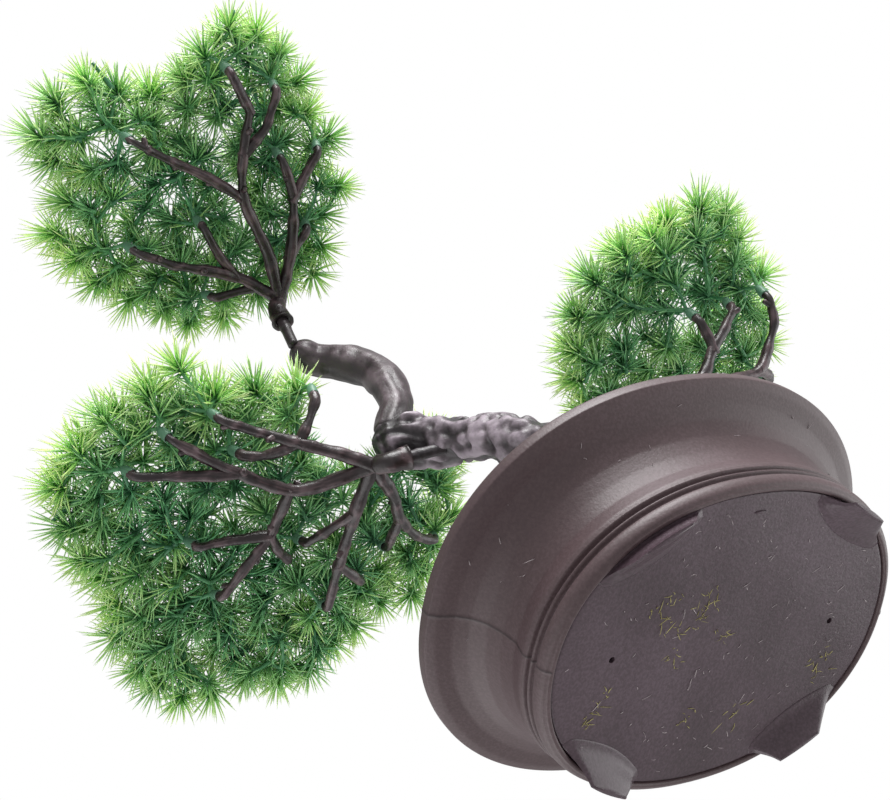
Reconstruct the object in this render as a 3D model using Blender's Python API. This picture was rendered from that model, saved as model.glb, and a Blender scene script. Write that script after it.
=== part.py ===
"""An artificial table-top pine: an oval pot with a weighted core, a moulded trunk in two pieces,
and three plug-in branches that turn on the trunk's pegs and carry green needle sprigs.
Metres, +Z up. The feet stand on Z = 0 and the tree's footprint is centred on the origin."""

import math

import bmesh
import bpy
import numpy as np
from mathutils import Matrix, Vector

MM = 0.001

# Pot. Insets are measured inwards from the rim's oval outline.
POT_LENGTH = 180 * MM
POT_WIDTH = 151 * MM
POT_HEIGHT = 49.7 * MM
OVAL_POWER = 2.15
RIM_LIP = 4.6 * MM
RIM_OVERHANG = 19.4 * MM
RING_INSET = 20.8 * MM
RING_CLEARANCE = 6.3 * MM
POT_WALL = 2.2 * MM
MOULDING_DEPTH = 1.3 * MM
WAIST_RISE = 11.6 * MM
POT_CENTRE = (-15.9 * MM, -15.0 * MM)
OVAL_SIDES = 60

# Base plate, feet and vent holes.
PLATE_RECESS = 0.8 * MM
PLATE_LEVEL = RING_CLEARANCE + PLATE_RECESS
PLATE_THICKNESS = 2.2 * MM
LEDGE_WIDTH = 3.5 * MM
LEDGE_THICKNESS = 1.8 * MM
FOOT_SPAN = (31, 70)
SOLE_SPAN = (47, 63)
FOOT_DEPTH = 10 * MM
FOOT_FLARE = 2.4 * MM
FOOT_SOLE = 2.4 * MM
VENT_RADIUS = 1.1 * MM
VENT_REACH = 46 * MM

# Filling: a cement plug, a foam block over it, and the moss mat on top.
PLUG_HEIGHT = 17.2 * MM
FOAM_HEIGHT = 10 * MM
MOSS_THICKNESS = 3 * MM
MOSS_DOME = 4 * MM

GAP = 0.3 * MM

# Trunk, root spigot and pegs.
SPIGOT_RADIUS = 7 * MM
SPIGOT_DEPTH = 24 * MM
TRUNK_RADIUS = 9.5 * MM
ROOT_RADIUS = 15 * MM
UPPER_RADIUS = 7.6 * MM
DOWEL_RADIUS = 4 * MM
DOWEL_LENGTH = 6 * MM
PEG_RADIUS = 2.3 * MM
SOCKET_DEPTH = 7 * MM
SOCKET_WALL = 1.7 * MM

# Branch frames and needle sprigs.
STEM_RADIUS = 3.4 * MM
TWIG_RADIUS = 1.7 * MM
TIP_RISE = 4 * MM
LIMB_ROOT = 1.5 * MM
HUB_RADIUS = 2 * MM
STALK_RADIUS = 0.9 * MM
WHORL_RADIUS = 9 * MM
WHORL_CLEARANCE = 3 * MM
WHORL_THICKNESS = 4.4 * MM
PACKING_STEP = 4 * MM
TRUNK_BERTH = 28 * MM

# Routes, in millimetres from the pot's centre and up from the bottom of its ring.
TRUNK_FOOT = (0, 11)
TRUNK_ROUTE = [(1, 12, 53), (4, 16, 63), (10, 22, 75), (18, 27, 93), (24, 23, 111), (31, 17, 126),
               (39, 11, 138), (49, 8, 146)]
UPPER_ROUTE = [(45, 11, 153), (39, 14, 163), (36, 17, 176), (35, 18, 189), (38, 17, 200),
               (44, 16, 208), (52, 15, 214), (61, 20, 217)]
BOUGH_ROUTE = [(10, 24, 74), (-4, 27, 85), (-22, 26, 93), (-38, 23, 99)]

# Each branch: its peg (root, direction, length to the socket), its limbs, the limbs whose ends
# carry a sprig, and its needle pad: edge in plan, level and rise towards the middle.
# A limb starts on an earlier limb of its branch; the first one is the stem.
BRANCHES = {
    "top": {
        "peg": ((61, 21, 216), (-0.04, 0.33, 0.94), 15),
        "limbs": [
            [(57, 31, 243)],
            [(57, 31, 243), (66, 36, 246), (76, 40, 248), (90, 43, 248), (104, 45, 249), (119, 50, 250)],
            [(76, 40, 248), (84, 49, 249), (91, 60, 251)],
            [(66, 36, 246), (74, 33, 249), (83, 30, 251)],
            [(57, 31, 243), (64, 52, 246), (76, 73, 248), (78, 92, 249), (77, 110, 250)],
            [(76, 73, 248), (92, 82, 249), (108, 88, 250), (124, 95, 250)],
            [(77, 110, 250), (83, 119, 250), (86, 124, 251)],
            [(78, 92, 249), (69, 104, 250), (66, 118, 251)],
            [(57, 31, 243), (53, 50, 246), (54, 74, 248), (60, 90, 250)],
            [(54, 74, 248), (49, 84, 250), (44, 94, 251)],
            [(53, 50, 246), (45, 60, 250)],
        ],
        "sprigs": {"end": 1, "near": 2, "low": 3, "far": 5, "crown": 6, "shoulder": 7, "inner": 8,
                   "back": 9, "stub": 10},
        "outline": [(161, 104), (146, 116), (138, 123), (123, 116), (109, 119), (92, 138),
                    (83, 149), (65, 140), (53, 133), (45, 122), (30, 98), (18, 73), (26, 58),
                    (28, 34), (58, 22), (81, 6), (123, 21), (138, 32), (156, 50), (149, 75),
                    (164, 90)],
        "pad": (265, 6),
    },
    "left": {
        "peg": ((38, 14, 125), (0.95, -0.27, 0.16), 14),
        "limbs": [
            [(63, 5, 133)],
            [(63, 5, 133), (74, 8, 138), (89, 11, 144), (102, 14, 148), (116, 18, 152)],
            [(89, 11, 144), (99, 5, 148), (106, 3, 153)],
            [(89, 11, 144), (84, 18, 148), (80, 24, 153)],
            [(63, 5, 133), (77, -3, 138), (91, -7, 142), (109, -1, 146), (121, 4, 150), (134, 11, 153)],
            [(109, -1, 146), (128, -2, 150), (146, -2, 153)],
            [(91, -7, 142), (94, -29, 148), (101, -42, 150), (108, -56, 153)],
            [(94, -29, 148), (108, -31, 151), (119, -34, 154)],
            [(94, -29, 148), (88, -38, 151), (82, -44, 154)],
            [(63, 5, 133), (64, -18, 139), (63, -45, 147), (62, -67, 153)],
            [(64, -18, 139), (72, -30, 147), (76, -36, 152)],
            [(63, -45, 147), (55, -52, 150), (48, -58, 154)],
            [(63, 5, 133), (50, -10, 137), (41, -25, 143), (27, -38, 150), (16, -43, 154)],
            [(41, -25, 143), (40, -36, 149), (38, -44, 154)],
        ],
        "sprigs": {"upper_end": 1, "upper_side": 2, "upper_stub": 3, "middle_end": 4, "tip": 5,
                   "lower_end": 6, "lower_side": 7, "lower_stub": 8, "front_end": 9,
                   "front_stub": 10, "front_side": 11, "back_end": 12, "back_stub": 13},
        "outline": [(177, -11), (170, 3), (160, 18), (143, 29), (129, 40), (112, 27), (80, 26),
                    (57, 12), (19, 5), (0, -10), (-5, -36), (6, -58), (0, -77), (33, -84),
                    (48, -107), (66, -116), (84, -113), (115, -116), (134, -103), (150, -76),
                    (151, -58), (165, -52), (167, -35)],
        "pad": (168, 6),
    },
    "right": {
        "peg": ((-36, 22, 98), (-0.78, 0.50, 0.36), 12),
        "limbs": [
            [(-62, 37, 110)],
            [(-62, 37, 110), (-71, 44, 114), (-78, 51, 120), (-86, 57, 125), (-94, 64, 131)],
            [(-78, 51, 120), (-78, 55, 124), (-76, 60, 129)],
            [(-62, 37, 110), (-82, 40, 113), (-101, 43, 115), (-110, 52, 122), (-114, 60, 126),
             (-114, 68, 132)],
            [(-101, 43, 115), (-114, 38, 122), (-124, 32, 130)],
            [(-62, 37, 110), (-65, 25, 116), (-74, 16, 124), (-86, 14, 131)],
            [(-65, 25, 116), (-58, 18, 124), (-52, 16, 130)],
        ],
        "sprigs": {"inner_end": 1, "inner_stub": 2, "outer_end": 3, "outer_side": 4, "rear_end": 5,
                   "rear_side": 6},
        "outline": [(-26, 60), (-40, 84), (-54, 92), (-67, 99), (-85, 108), (-102, 106),
                    (-114, 87), (-135, 67), (-142, 45), (-136, 22), (-108, 3), (-72, -1),
                    (-40, 10), (-25, 33)],
        "pad": (152, 6),
    },
}


def clear_scene():
    for obj in list(bpy.data.objects):
        bpy.data.objects.remove(obj, do_unlink=True)


def make_material(name, colour, roughness):
    material = bpy.data.materials.new(name)
    material.use_nodes = True
    shader = material.node_tree.nodes["Principled BSDF"]
    shader.inputs["Base Color"].default_value = (*colour, 1)
    shader.inputs["Roughness"].default_value = roughness
    shader.inputs["Metallic"].default_value = 0
    return material


def make_object(name, bm, material, parent, helper=False):
    """A mesh drawn about the pot's centre becomes an object whose origin is its parent's."""
    origin = parent["pot_place"]
    bmesh.ops.translate(bm, verts=bm.verts, vec=[-value for value in origin])
    mesh = bpy.data.meshes.new(name)
    bm.to_mesh(mesh)
    bm.free()
    mesh.materials.append(material)
    if not helper:
        mesh.shade_smooth()
        mesh.set_sharp_from_angle(angle=math.radians(40))
    obj = bpy.data.objects.new(name, mesh)
    obj.parent = parent
    obj.hide_render = helper
    if helper:
        obj.display_type = "WIRE"
    bpy.context.scene.collection.objects.link(obj)
    return obj


def make_empty(name, place, parent=None):
    """An empty at a place given from the pot's centre; what it carries is drawn about that place."""
    empty = bpy.data.objects.new(name, None)
    empty.empty_display_size = 0.01
    base = Vector(parent["pot_place"]) if parent else Vector((0, 0, 0))
    empty.parent = parent
    empty.location = Vector(place) - base
    empty["pot_place"] = tuple(place)
    bpy.context.scene.collection.objects.link(empty)
    return empty


def combine(obj, operation, other, own_pieces=False):
    """Adds a Boolean; own_pieces also unites the overlapping closed pieces within the object."""
    boolean = obj.modifiers.new(operation.lower(), "BOOLEAN")
    boolean.operation = operation
    boolean.object = other
    boolean.solver = "EXACT"
    boolean.use_self = own_pieces


def oval(inset, level, sides=OVAL_SIDES):
    """Points of the rim's superellipse moved inwards by an inset, at one level."""
    turns = np.arange(sides) * 2 * math.pi / sides
    power = 2 / OVAL_POWER
    x = (POT_LENGTH / 2 - inset) * np.sign(np.cos(turns)) * np.abs(np.cos(turns)) ** power
    y = (POT_WIDTH / 2 - inset) * np.sign(np.sin(turns)) * np.abs(np.sin(turns)) ** power
    return np.stack([x, y, np.full(sides, level)], axis=1)


def add_rings(bm, rings, closed=False):
    """Skins a stack of equal rings into a solid: capped at both ends, or joined into a loop."""
    rows = [[bm.verts.new(point) for point in ring] for ring in rings]
    count = len(rows[0])
    pairs = list(zip(rows, rows[1:])) + ([(rows[-1], rows[0])] if closed else [])
    for low, high in pairs:
        for i in range(count):
            j = (i + 1) % count
            bm.faces.new((low[i], low[j], high[j], high[i]))
    if not closed:
        bm.faces.new(rows[0][::-1])
        bm.faces.new(rows[-1])


def smooth_route(points, steps):
    """A Catmull-Rom curve through the points, with this many samples to each stretch."""
    points = np.array(points, float)
    ends = np.vstack([2 * points[0] - points[1], points, 2 * points[-1] - points[-2]])
    samples = []
    for a, b, c, d in zip(ends, ends[1:], ends[2:], ends[3:]):
        for t in np.arange(steps) / steps:
            samples.append(0.5 * (2 * b + (c - a) * t + (2 * a - 5 * b + 4 * c - d) * t * t
                                  + (3 * b - a - 3 * c + d) * t ** 3))
    return np.array(samples + [points[-1]])


def carried_frames(route):
    """Two cross directions at each point of a route, carried along it without twisting."""
    tangents = np.gradient(route, axis=0)
    tangents /= np.linalg.norm(tangents, axis=1, keepdims=True)
    across = np.cross(tangents[0], (0.31, 0.9, 0.2))
    frames = []
    for tangent in tangents:
        across = across - tangent * np.dot(across, tangent)
        across /= np.linalg.norm(across)
        frames.append((across, np.cross(tangent, across)))
    return frames


def add_tube(bm, route, radii, sides, lumps=0.0, foot_normal=None):
    """A capped tube along a route; lumps swells and pinches it like knotted bark.
    The first ring lies square to the foot's normal, where one is given."""
    turns = np.arange(sides) * 2 * math.pi / sides
    rings = []
    for step, (point, radius, (u, v)) in enumerate(zip(route, radii, carried_frames(route))):
        swell = 1 + lumps * (0.6 * np.sin(2 * turns + 1.9 * step) + 0.4 * np.sin(3 * turns - 1.1 * step))
        rings.append(point + (radius * swell)[:, None] * (np.cos(turns)[:, None] * u
                                                          + np.sin(turns)[:, None] * v))
    if foot_normal is not None:
        rings[0] -= np.outer((rings[0] - route[0]) @ foot_normal, foot_normal)
    add_rings(bm, rings)


def add_cylinder(bm, start, end, radius, sides):
    add_tube(bm, np.array([start, end], float), (radius, radius), sides)


def placed(points):
    """Route points as metres from the pot's centre on the table."""
    return np.array(points, float) * MM + (0, 0, RING_CLEARANCE)


def ballast_level():
    return PLATE_LEVEL + PLATE_THICKNESS + LEDGE_THICKNESS + 2 * GAP


def moss_level():
    return ballast_level() + PLUG_HEIGHT + FOAM_HEIGHT + 2 * GAP


def outer_profile():
    """Inset and level down the outside of the pot: lip, hollow shelf, waist, moulding, ring."""
    lip_base = POT_HEIGHT - RIM_LIP
    shelf = [(0.15, 0.05), (0.42, 0.09), (0.66, 0.19), (0.84, 0.34), (0.95, 0.56), (1.0, 0.78)]
    waist = RING_CLEARANCE + WAIST_RISE
    moulding = [(-1.2, 0), (-1.0, 1.2), (-0.9, 1.8), (0.4, 2.2), (0.5, 3.0), (-0.7, 3.5),
                (-0.8, 4.4), (0.4, 4.8), (0.5, 5.6), (-0.6, 6.1), (-0.7, 8.2), (-0.1, 10.4)]
    profile = [(0.4 * MM, POT_HEIGHT), (0, POT_HEIGHT - 0.5 * MM), (0, lip_base + 0.4 * MM),
               (0.5 * MM, lip_base)]
    profile += [(RIM_OVERHANG * along, lip_base - (lip_base - waist) * down) for along, down in shelf]
    profile += [(RIM_OVERHANG + across * MOULDING_DEPTH, waist - down * MM)
                for across, down in moulding]
    return profile + [(RING_INSET - 0.3 * MM, RING_CLEARANCE + 0.5 * MM), (RING_INSET, RING_CLEARANCE)]


def inner_profile():
    """Inset and level up the inside: plate seat, ledge, thin wall, and out to the rim."""
    seat = RING_INSET + 1.5 * MM
    ledge_base = PLATE_LEVEL + PLATE_THICKNESS + GAP
    ledge_top = ledge_base + LEDGE_THICKNESS
    wall = RIM_OVERHANG + POT_WALL
    rise = POT_HEIGHT - ledge_top
    return [(seat, RING_CLEARANCE), (seat, ledge_base), (seat + LEDGE_WIDTH, ledge_base),
            (seat + LEDGE_WIDTH, ledge_top), (wall, ledge_top), (wall, ledge_top + 0.62 * rise),
            (wall - 0.12 * RIM_OVERHANG, ledge_top + 0.76 * rise),
            (wall - 0.42 * RIM_OVERHANG, ledge_top + 0.87 * rise),
            (POT_WALL + 0.35 * RIM_OVERHANG, ledge_top + 0.91 * rise),
            (POT_WALL + 0.06 * RIM_OVERHANG, ledge_top + 0.93 * rise),
            (POT_WALL, POT_HEIGHT - 1 * MM), (POT_WALL, POT_HEIGHT)]


def make_pot_shell(stand, plastic):
    bm = bmesh.new()
    rings = [oval(inset, level) for inset, level in outer_profile() + inner_profile()]
    add_rings(bm, rings[::-1], closed=True)
    bmesh.ops.recalc_face_normals(bm, faces=bm.faces)
    make_object("pot_shell", bm, plastic, stand)


def foot_outline(outer_inset, inner_inset, drop, level):
    """A crescent between two insets of the oval, broader in its middle. Its length goes from the
    foot's span at no drop to the sole's span at full drop."""
    steps = 7
    start, end = (a + (b - a) * drop for a, b in zip(FOOT_SPAN, SOLE_SPAN))
    turns = np.radians(np.linspace(start, end, steps))
    power = 2 / OVAL_POWER
    breadth = 0.6 + 0.4 * np.sin(np.linspace(0, math.pi, steps))

    def edge(inset):
        x = (POT_LENGTH / 2 - inset) * np.cos(turns) ** power
        y = (POT_WIDTH / 2 - inset) * np.sin(turns) ** power
        return np.stack([x, y, np.full(steps, level)], axis=1)

    inner = edge(outer_inset + (inner_inset - outer_inset) * breadth)
    return np.vstack([edge(np.full(steps, outer_inset)), inner[::-1]])


def plate_inset():
    return RING_INSET + 1.5 * MM + GAP


def foot_sole():
    """Outline of the flat sole ridge, which stands under the ring."""
    outer = plate_inset() - FOOT_FLARE
    return foot_outline(outer, outer + FOOT_SOLE, 1, 0)


def foot_levels():
    """A foot's outlines from inside the plate down to the sole: broad where it leaves the plate,
    scooped on its outer side to pass the ring, and a narrow ridge where it stands."""
    rim = plate_inset()
    below_ring = RING_CLEARANCE - GAP
    return [foot_outline(rim, rim + FOOT_DEPTH, 0, PLATE_LEVEL + 0.5 * PLATE_THICKNESS),
            foot_outline(rim, rim + FOOT_DEPTH, 0, PLATE_LEVEL),
            foot_outline(rim + 0.3 * MM, rim + 0.68 * FOOT_DEPTH, 0.3, below_ring),
            foot_outline(rim - 0.2 * FOOT_FLARE, rim + 0.3 * FOOT_DEPTH, 0.72, 0.42 * below_ring),
            foot_sole()]


def add_foot(bm, side_x, side_y):
    add_rings(bm, [ring * (side_x, side_y, 1) for ring in foot_levels()[::-1]])


def make_base_plate(stand, plastic):
    plate = bmesh.new()
    rim = plate_inset()
    add_rings(plate, [oval(rim, PLATE_LEVEL), oval(rim, PLATE_LEVEL + PLATE_THICKNESS)])
    bmesh.ops.recalc_face_normals(plate, faces=plate.faces)
    base = make_object("base_plate", plate, plastic, stand)
    for side_x in (1, -1):
        for side_y in (1, -1):
            foot = bmesh.new()
            add_foot(foot, side_x, side_y)
            bmesh.ops.recalc_face_normals(foot, faces=foot.faces)
            name = f"foot_{'right' if side_x > 0 else 'left'}_{'back' if side_y > 0 else 'front'}"
            combine(base, "UNION", make_object(name, foot, plastic, stand, helper=True))
    for side in (1, -1):
        vent = bmesh.new()
        low = (side * VENT_REACH, 0, PLATE_LEVEL - 1 * MM)
        high = (side * VENT_REACH, 0, PLATE_LEVEL + PLATE_THICKNESS + 1 * MM)
        add_cylinder(vent, low, high, VENT_RADIUS, 12)
        bmesh.ops.recalc_face_normals(vent, faces=vent.faces)
        cutter = make_object(f"vent_{'right' if side > 0 else 'left'}", vent, plastic, stand, helper=True)
        combine(base, "DIFFERENCE", cutter)


def root_place():
    """Middle of the trunk's root, a gap above the top of the moss."""
    x, y = TRUNK_FOOT
    return x * MM, y * MM, moss_level() + MOSS_THICKNESS + MOSS_DOME + GAP


def spigot_ends(extra=0.0):
    """Bottom and top of the round spigot under the trunk, which stands in the filling."""
    x, y, level = root_place()
    return (x, y, moss_level() - SPIGOT_DEPTH - extra), (x, y, level + 3 * MM)


def make_filling(name, stand, material, insets_and_levels):
    """A layer of the filling: an oval slab with the bore for the trunk's spigot."""
    bm = bmesh.new()
    add_rings(bm, [oval(inset, level) for inset, level in insets_and_levels])
    bmesh.ops.recalc_face_normals(bm, faces=bm.faces)
    layer = make_object(name, bm, material, stand)
    bore = bmesh.new()
    low, high = spigot_ends(extra=GAP)
    add_cylinder(bore, low, high, SPIGOT_RADIUS + GAP, 20)
    bmesh.ops.recalc_face_normals(bore, faces=bore.faces)
    combine(layer, "DIFFERENCE", make_object(f"{name}_bore", bore, material, stand, helper=True))


def make_fillings(stand, cement, foam, moss):
    inset = RIM_OVERHANG + POT_WALL + GAP
    low = ballast_level()
    top = low + PLUG_HEIGHT
    make_filling("cement_plug", stand, cement, [(inset, low), (inset, top)])
    low = top + GAP
    top = low + FOAM_HEIGHT
    make_filling("foam_block", stand, foam, [(inset, low), (inset, top)])
    low = top + GAP
    dome = [(low + MOSS_THICKNESS + MOSS_DOME * (1 - share ** 2), share) for share in (1, 0.7, 0.4, 0.15)]
    half_width = POT_WIDTH / 2 - inset
    rings = [(inset, low)] + [(inset + half_width * (1 - share), level) for level, share in dome]
    make_filling("moss_mat", stand, moss, rings)


def make_trunk_lower(stand, resin):
    """Root flare, gnarled stem, knuckle, side bough, spigot and the pegs of two branches."""
    route = smooth_route([root_place(), *placed(TRUNK_ROUTE)], 3)
    share = np.linspace(0, 1, len(route))
    flare = (ROOT_RADIUS - TRUNK_RADIUS) * np.exp(-share / 0.07)
    knuckle = 1.3 * MM * np.exp(-((share - 0.95) / 0.06) ** 2)
    waist = 1.2 * MM * np.exp(-((share - 0.72) / 0.12) ** 2)
    radii = TRUNK_RADIUS + flare + knuckle - waist
    radii[-1] *= 0.72
    bm = bmesh.new()
    add_tube(bm, route, radii, 14, lumps=0.09, foot_normal=np.array([0, 0, 1.0]))
    bough = smooth_route(placed(BOUGH_ROUTE), 2)
    add_tube(bm, bough, np.linspace(0.75, 0.55, len(bough)) * TRUNK_RADIUS, 10, lumps=0.07)
    for branch in ("left", "right"):
        add_peg(bm, branch)
    bmesh.ops.recalc_face_normals(bm, faces=bm.faces)
    trunk = make_object("trunk_lower", bm, resin, stand)
    spigot = bmesh.new()
    low, high = spigot_ends()
    add_cylinder(spigot, low, high, SPIGOT_RADIUS, 16)
    bmesh.ops.recalc_face_normals(spigot, faces=spigot.faces)
    combine(trunk, "UNION", make_object("spigot", spigot, resin, stand, helper=True), own_pieces=True)
    seat, axis = knuckle_seat()
    cut = bmesh.new()
    add_cylinder(cut, seat, seat + axis * 3 * UPPER_RADIUS, 1.5 * UPPER_RADIUS, 20)
    bmesh.ops.recalc_face_normals(cut, faces=cut.faces)
    combine(trunk, "DIFFERENCE", make_object("knuckle_cut", cut, resin, stand, helper=True))
    bore = bmesh.new()
    add_cylinder(bore, seat - axis * (DOWEL_LENGTH + GAP), seat + axis * MM, DOWEL_RADIUS + GAP, 14)
    bmesh.ops.recalc_face_normals(bore, faces=bore.faces)
    combine(trunk, "DIFFERENCE", make_object("knuckle_bore", bore, resin, stand, helper=True))


def knuckle_seat():
    """Where the upper trunk stands on the knuckle, and the direction it leaves in."""
    start, after = placed(UPPER_ROUTE[:2])
    axis = (after - start) / np.linalg.norm(after - start)
    return start, axis


def make_trunk_upper(stand, resin):
    seat, axis = knuckle_seat()
    route = smooth_route(placed(UPPER_ROUTE), 3)
    route[0] = route[0] + axis * GAP
    share = np.linspace(0, 1, len(route))
    radii = UPPER_RADIUS * (0.84 + 0.14 * np.sin(2.4 * share)) * (1 + 0.04 * np.sin(share * 21))
    radii[-1] *= 0.75
    bm = bmesh.new()
    add_tube(bm, route, radii, 14, lumps=0.04, foot_normal=axis)
    add_peg(bm, "top")
    bmesh.ops.recalc_face_normals(bm, faces=bm.faces)
    upper = make_object("trunk_upper", bm, resin, stand)
    dowel = bmesh.new()
    add_cylinder(dowel, seat - axis * DOWEL_LENGTH, seat + axis * 3 * MM, DOWEL_RADIUS, 14)
    bmesh.ops.recalc_face_normals(dowel, faces=dowel.faces)
    combine(upper, "UNION", make_object("dowel", dowel, resin, stand, helper=True), own_pieces=True)


def peg_line(branch):
    """Root and unit direction of a branch's peg, and the point where its socket begins."""
    root, direction, reach = BRANCHES[branch]["peg"]
    root = placed(root)
    direction = np.array(direction) / np.linalg.norm(direction)
    return root, direction, root + direction * reach * MM


def add_peg(bm, branch):
    root, direction, socket = peg_line(branch)
    add_cylinder(bm, root, socket + direction * (SOCKET_DEPTH - GAP), PEG_RADIUS, 14)


def limb_route(points):
    """A limb through its points, rooted inside its parent, its end turned up to hold the sprig."""
    route = smooth_route(placed(points), 2)
    start = route[1] - route[0]
    route[0] -= start / np.linalg.norm(start) * LIMB_ROOT
    end = route[-1] - route[-2]
    end /= np.linalg.norm(end)
    return np.vstack([route, route[-1] + end * 0.5 * TIP_RISE + np.array([0, 0, TIP_RISE])])


def make_frame(branch, pivot, brown):
    """A branch frame: socket collar, stem and limbs in one moulding, bored for the trunk's peg."""
    root, direction, socket = peg_line(branch)
    limbs = BRANCHES[branch]["limbs"]
    bm = bmesh.new()
    for limb in limbs[1:]:
        route = limb_route(limb)
        main = limb[0] == limbs[1][0]
        start = (0.78 if main else 0.6) * STEM_RADIUS
        add_tube(bm, route, np.linspace(start, TWIG_RADIUS, len(route)), 8)
    bmesh.ops.recalc_face_normals(bm, faces=bm.faces)
    frame = make_object(f"{branch}_frame", bm, brown, pivot)
    stem = bmesh.new()
    collar = PEG_RADIUS + GAP + SOCKET_WALL
    path = smooth_route([socket, socket + direction * (SOCKET_DEPTH + 1.5 * MM), *placed(limbs[0])], 2)
    add_tube(stem, path, np.linspace(collar, STEM_RADIUS, len(path)), 12)
    bmesh.ops.recalc_face_normals(stem, faces=stem.faces)
    combine(frame, "UNION", make_object(f"{branch}_stem", stem, brown, pivot, helper=True), own_pieces=True)
    bore = bmesh.new()
    add_cylinder(bore, socket - direction * MM, socket + direction * SOCKET_DEPTH, PEG_RADIUS + GAP, 14)
    bmesh.ops.recalc_face_normals(bore, faces=bore.faces)
    combine(frame, "DIFFERENCE", make_object(f"{branch}_bore", bore, brown, pivot, helper=True))


def edge_depth(spots, outline):
    """How far plan points lie inside a closed outline, negative outside it."""
    ends = np.roll(outline, -1, axis=0)
    along = ends - outline
    offset = spots[:, None] - outline
    share = np.clip((offset * along).sum(axis=2) / (along ** 2).sum(axis=1), 0, 1)
    distance = np.linalg.norm(offset - share[..., None] * along, axis=2).min(axis=1)
    spans = (outline[:, 1] > spots[:, None, 1]) != (ends[:, 1] > spots[:, None, 1])
    rise = np.where(along[:, 1] == 0, 1, along[:, 1])
    left = offset[..., 0] < offset[..., 1] * along[:, 0] / rise
    return np.where((spans & left).sum(axis=1) % 2 == 1, distance, -distance)


def whorl_places(branch):
    """Whorl centres packed over the pad band by band from its edge inwards, a pitch apart and clear
    of the trunk, domed and gently staggered; and the pad's middle."""
    outline = np.array(BRANCHES[branch]["outline"]) * MM
    level, rise = (value * MM for value in BRANCHES[branch]["pad"])
    low, high = outline.min(axis=0), outline.max(axis=0)
    centre = (low + high) / 2
    reach = (high - low).max() / 2
    pitch = 2 * WHORL_RADIUS + WHORL_CLEARANCE
    spots = np.stack(np.meshgrid(*(np.arange(a, b, PACKING_STEP) for a, b in zip(low, high))), axis=-1)
    spots = spots.reshape(-1, 2)
    depth = edge_depth(spots, outline) - WHORL_RADIUS
    turn = np.arctan2(spots[:, 1] - centre[1], spots[:, 0] - centre[0])
    order = [i for i in np.lexsort((turn, np.floor(depth / PACKING_STEP))) if depth[i] >= 0]
    trunk = placed(TRUNK_ROUTE + UPPER_ROUTE)
    trunk = trunk[np.abs(trunk[:, 2] - RING_CLEARANCE - level) < TRUNK_BERTH, :2]
    taken = []
    for spot in spots[order]:
        crowded = any(np.linalg.norm(spot - other) < pitch for other in taken)
        if not crowded and all(np.linalg.norm(spot - point) >= TRUNK_BERTH for point in trunk):
            taken.append(spot)
    places = []
    for count, (x, y) in enumerate(taken):
        far = math.hypot(x - centre[0], y - centre[1]) / reach
        stagger = 1.5 * MM * math.sin(2.3 * count)
        places.append(np.array([x, y, RING_CLEARANCE + level + rise * (1 - far ** 2) + stagger]))
    return places, centre


def add_whorl(bm, centre, outward):
    """A needle whorl as a flat four-pointed double cone, leaning outwards."""
    up = Vector((0.35 * outward[0], 0.35 * outward[1], 1)).normalized()
    turn = up.to_track_quat("Z", "Y")
    points = 8
    ring = []
    for i in range(points):
        reach = WHORL_RADIUS * (1 if i % 2 == 0 else 0.55)
        angle = 2 * math.pi * i / points
        ring.append(bm.verts.new(Vector(centre) + turn @ Vector((reach * math.cos(angle),
                                                                 reach * math.sin(angle), 0))))
    top = bm.verts.new(Vector(centre) + up * WHORL_THICKNESS / 2)
    bottom = bm.verts.new(Vector(centre) - up * WHORL_THICKNESS / 2)
    for i in range(points):
        j = (i + 1) % points
        bm.faces.new((ring[i], ring[j], top))
        bm.faces.new((ring[j], ring[i], bottom))


def shared_whorls(places, hubs):
    """Which whorls each hub carries: the ones nearest to it. A hub left with none takes the nearest
    whorl of a neighbour that has several."""
    gaps = np.linalg.norm(np.array(places)[:, None, :2] - np.array(hubs)[None, :, :2], axis=2)
    owner = gaps.argmin(axis=1)
    for hub in range(len(hubs)):
        if hub not in owner:
            counts = np.bincount(owner, minlength=len(hubs))
            free = [i for i in range(len(places)) if counts[owner[i]] > 1]
            owner[min(free, key=lambda i: gaps[i, hub])] = hub
    return owner


def make_sprigs(branch, pivot, green):
    """One sprig to each listed limb end: a hub with a stalk to each of its whorls."""
    limbs = BRANCHES[branch]["limbs"]
    names, hubs, ends = [], [], []
    for name, limb in BRANCHES[branch]["sprigs"].items():
        route = limb_route(limbs[limb])
        end = route[-1] - route[-2]
        ends.append(end / np.linalg.norm(end))
        hubs.append(route[-1] + ends[-1] * (GAP + HUB_RADIUS))
        names.append(name)
    places, centre = whorl_places(branch)
    owner = shared_whorls(places, hubs)
    for i, (name, hub, end) in enumerate(zip(names, hubs, ends)):
        bm = bmesh.new()
        for place in [place for place, number in zip(places, owner) if number == i]:
            add_whorl(bm, place, (place[:2] - centre) / (60 * MM))
            add_cylinder(bm, hub, place, STALK_RADIUS, 5)
        bmesh.ops.recalc_face_normals(bm, faces=bm.faces)
        sprig = make_object(f"{branch}_sprig_{name}", bm, green, pivot)
        core = bmesh.new()
        add_tube(core, np.array([hub - end * HUB_RADIUS, hub, hub + end * HUB_RADIUS]),
                 (0.8 * HUB_RADIUS, HUB_RADIUS, 0.6 * HUB_RADIUS), 8)
        bmesh.ops.recalc_face_normals(core, faces=core.faces)
        combine(sprig, "UNION", make_object(f"{branch}_hub_{name}", core, green, pivot, helper=True),
                own_pieces=True)


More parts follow.
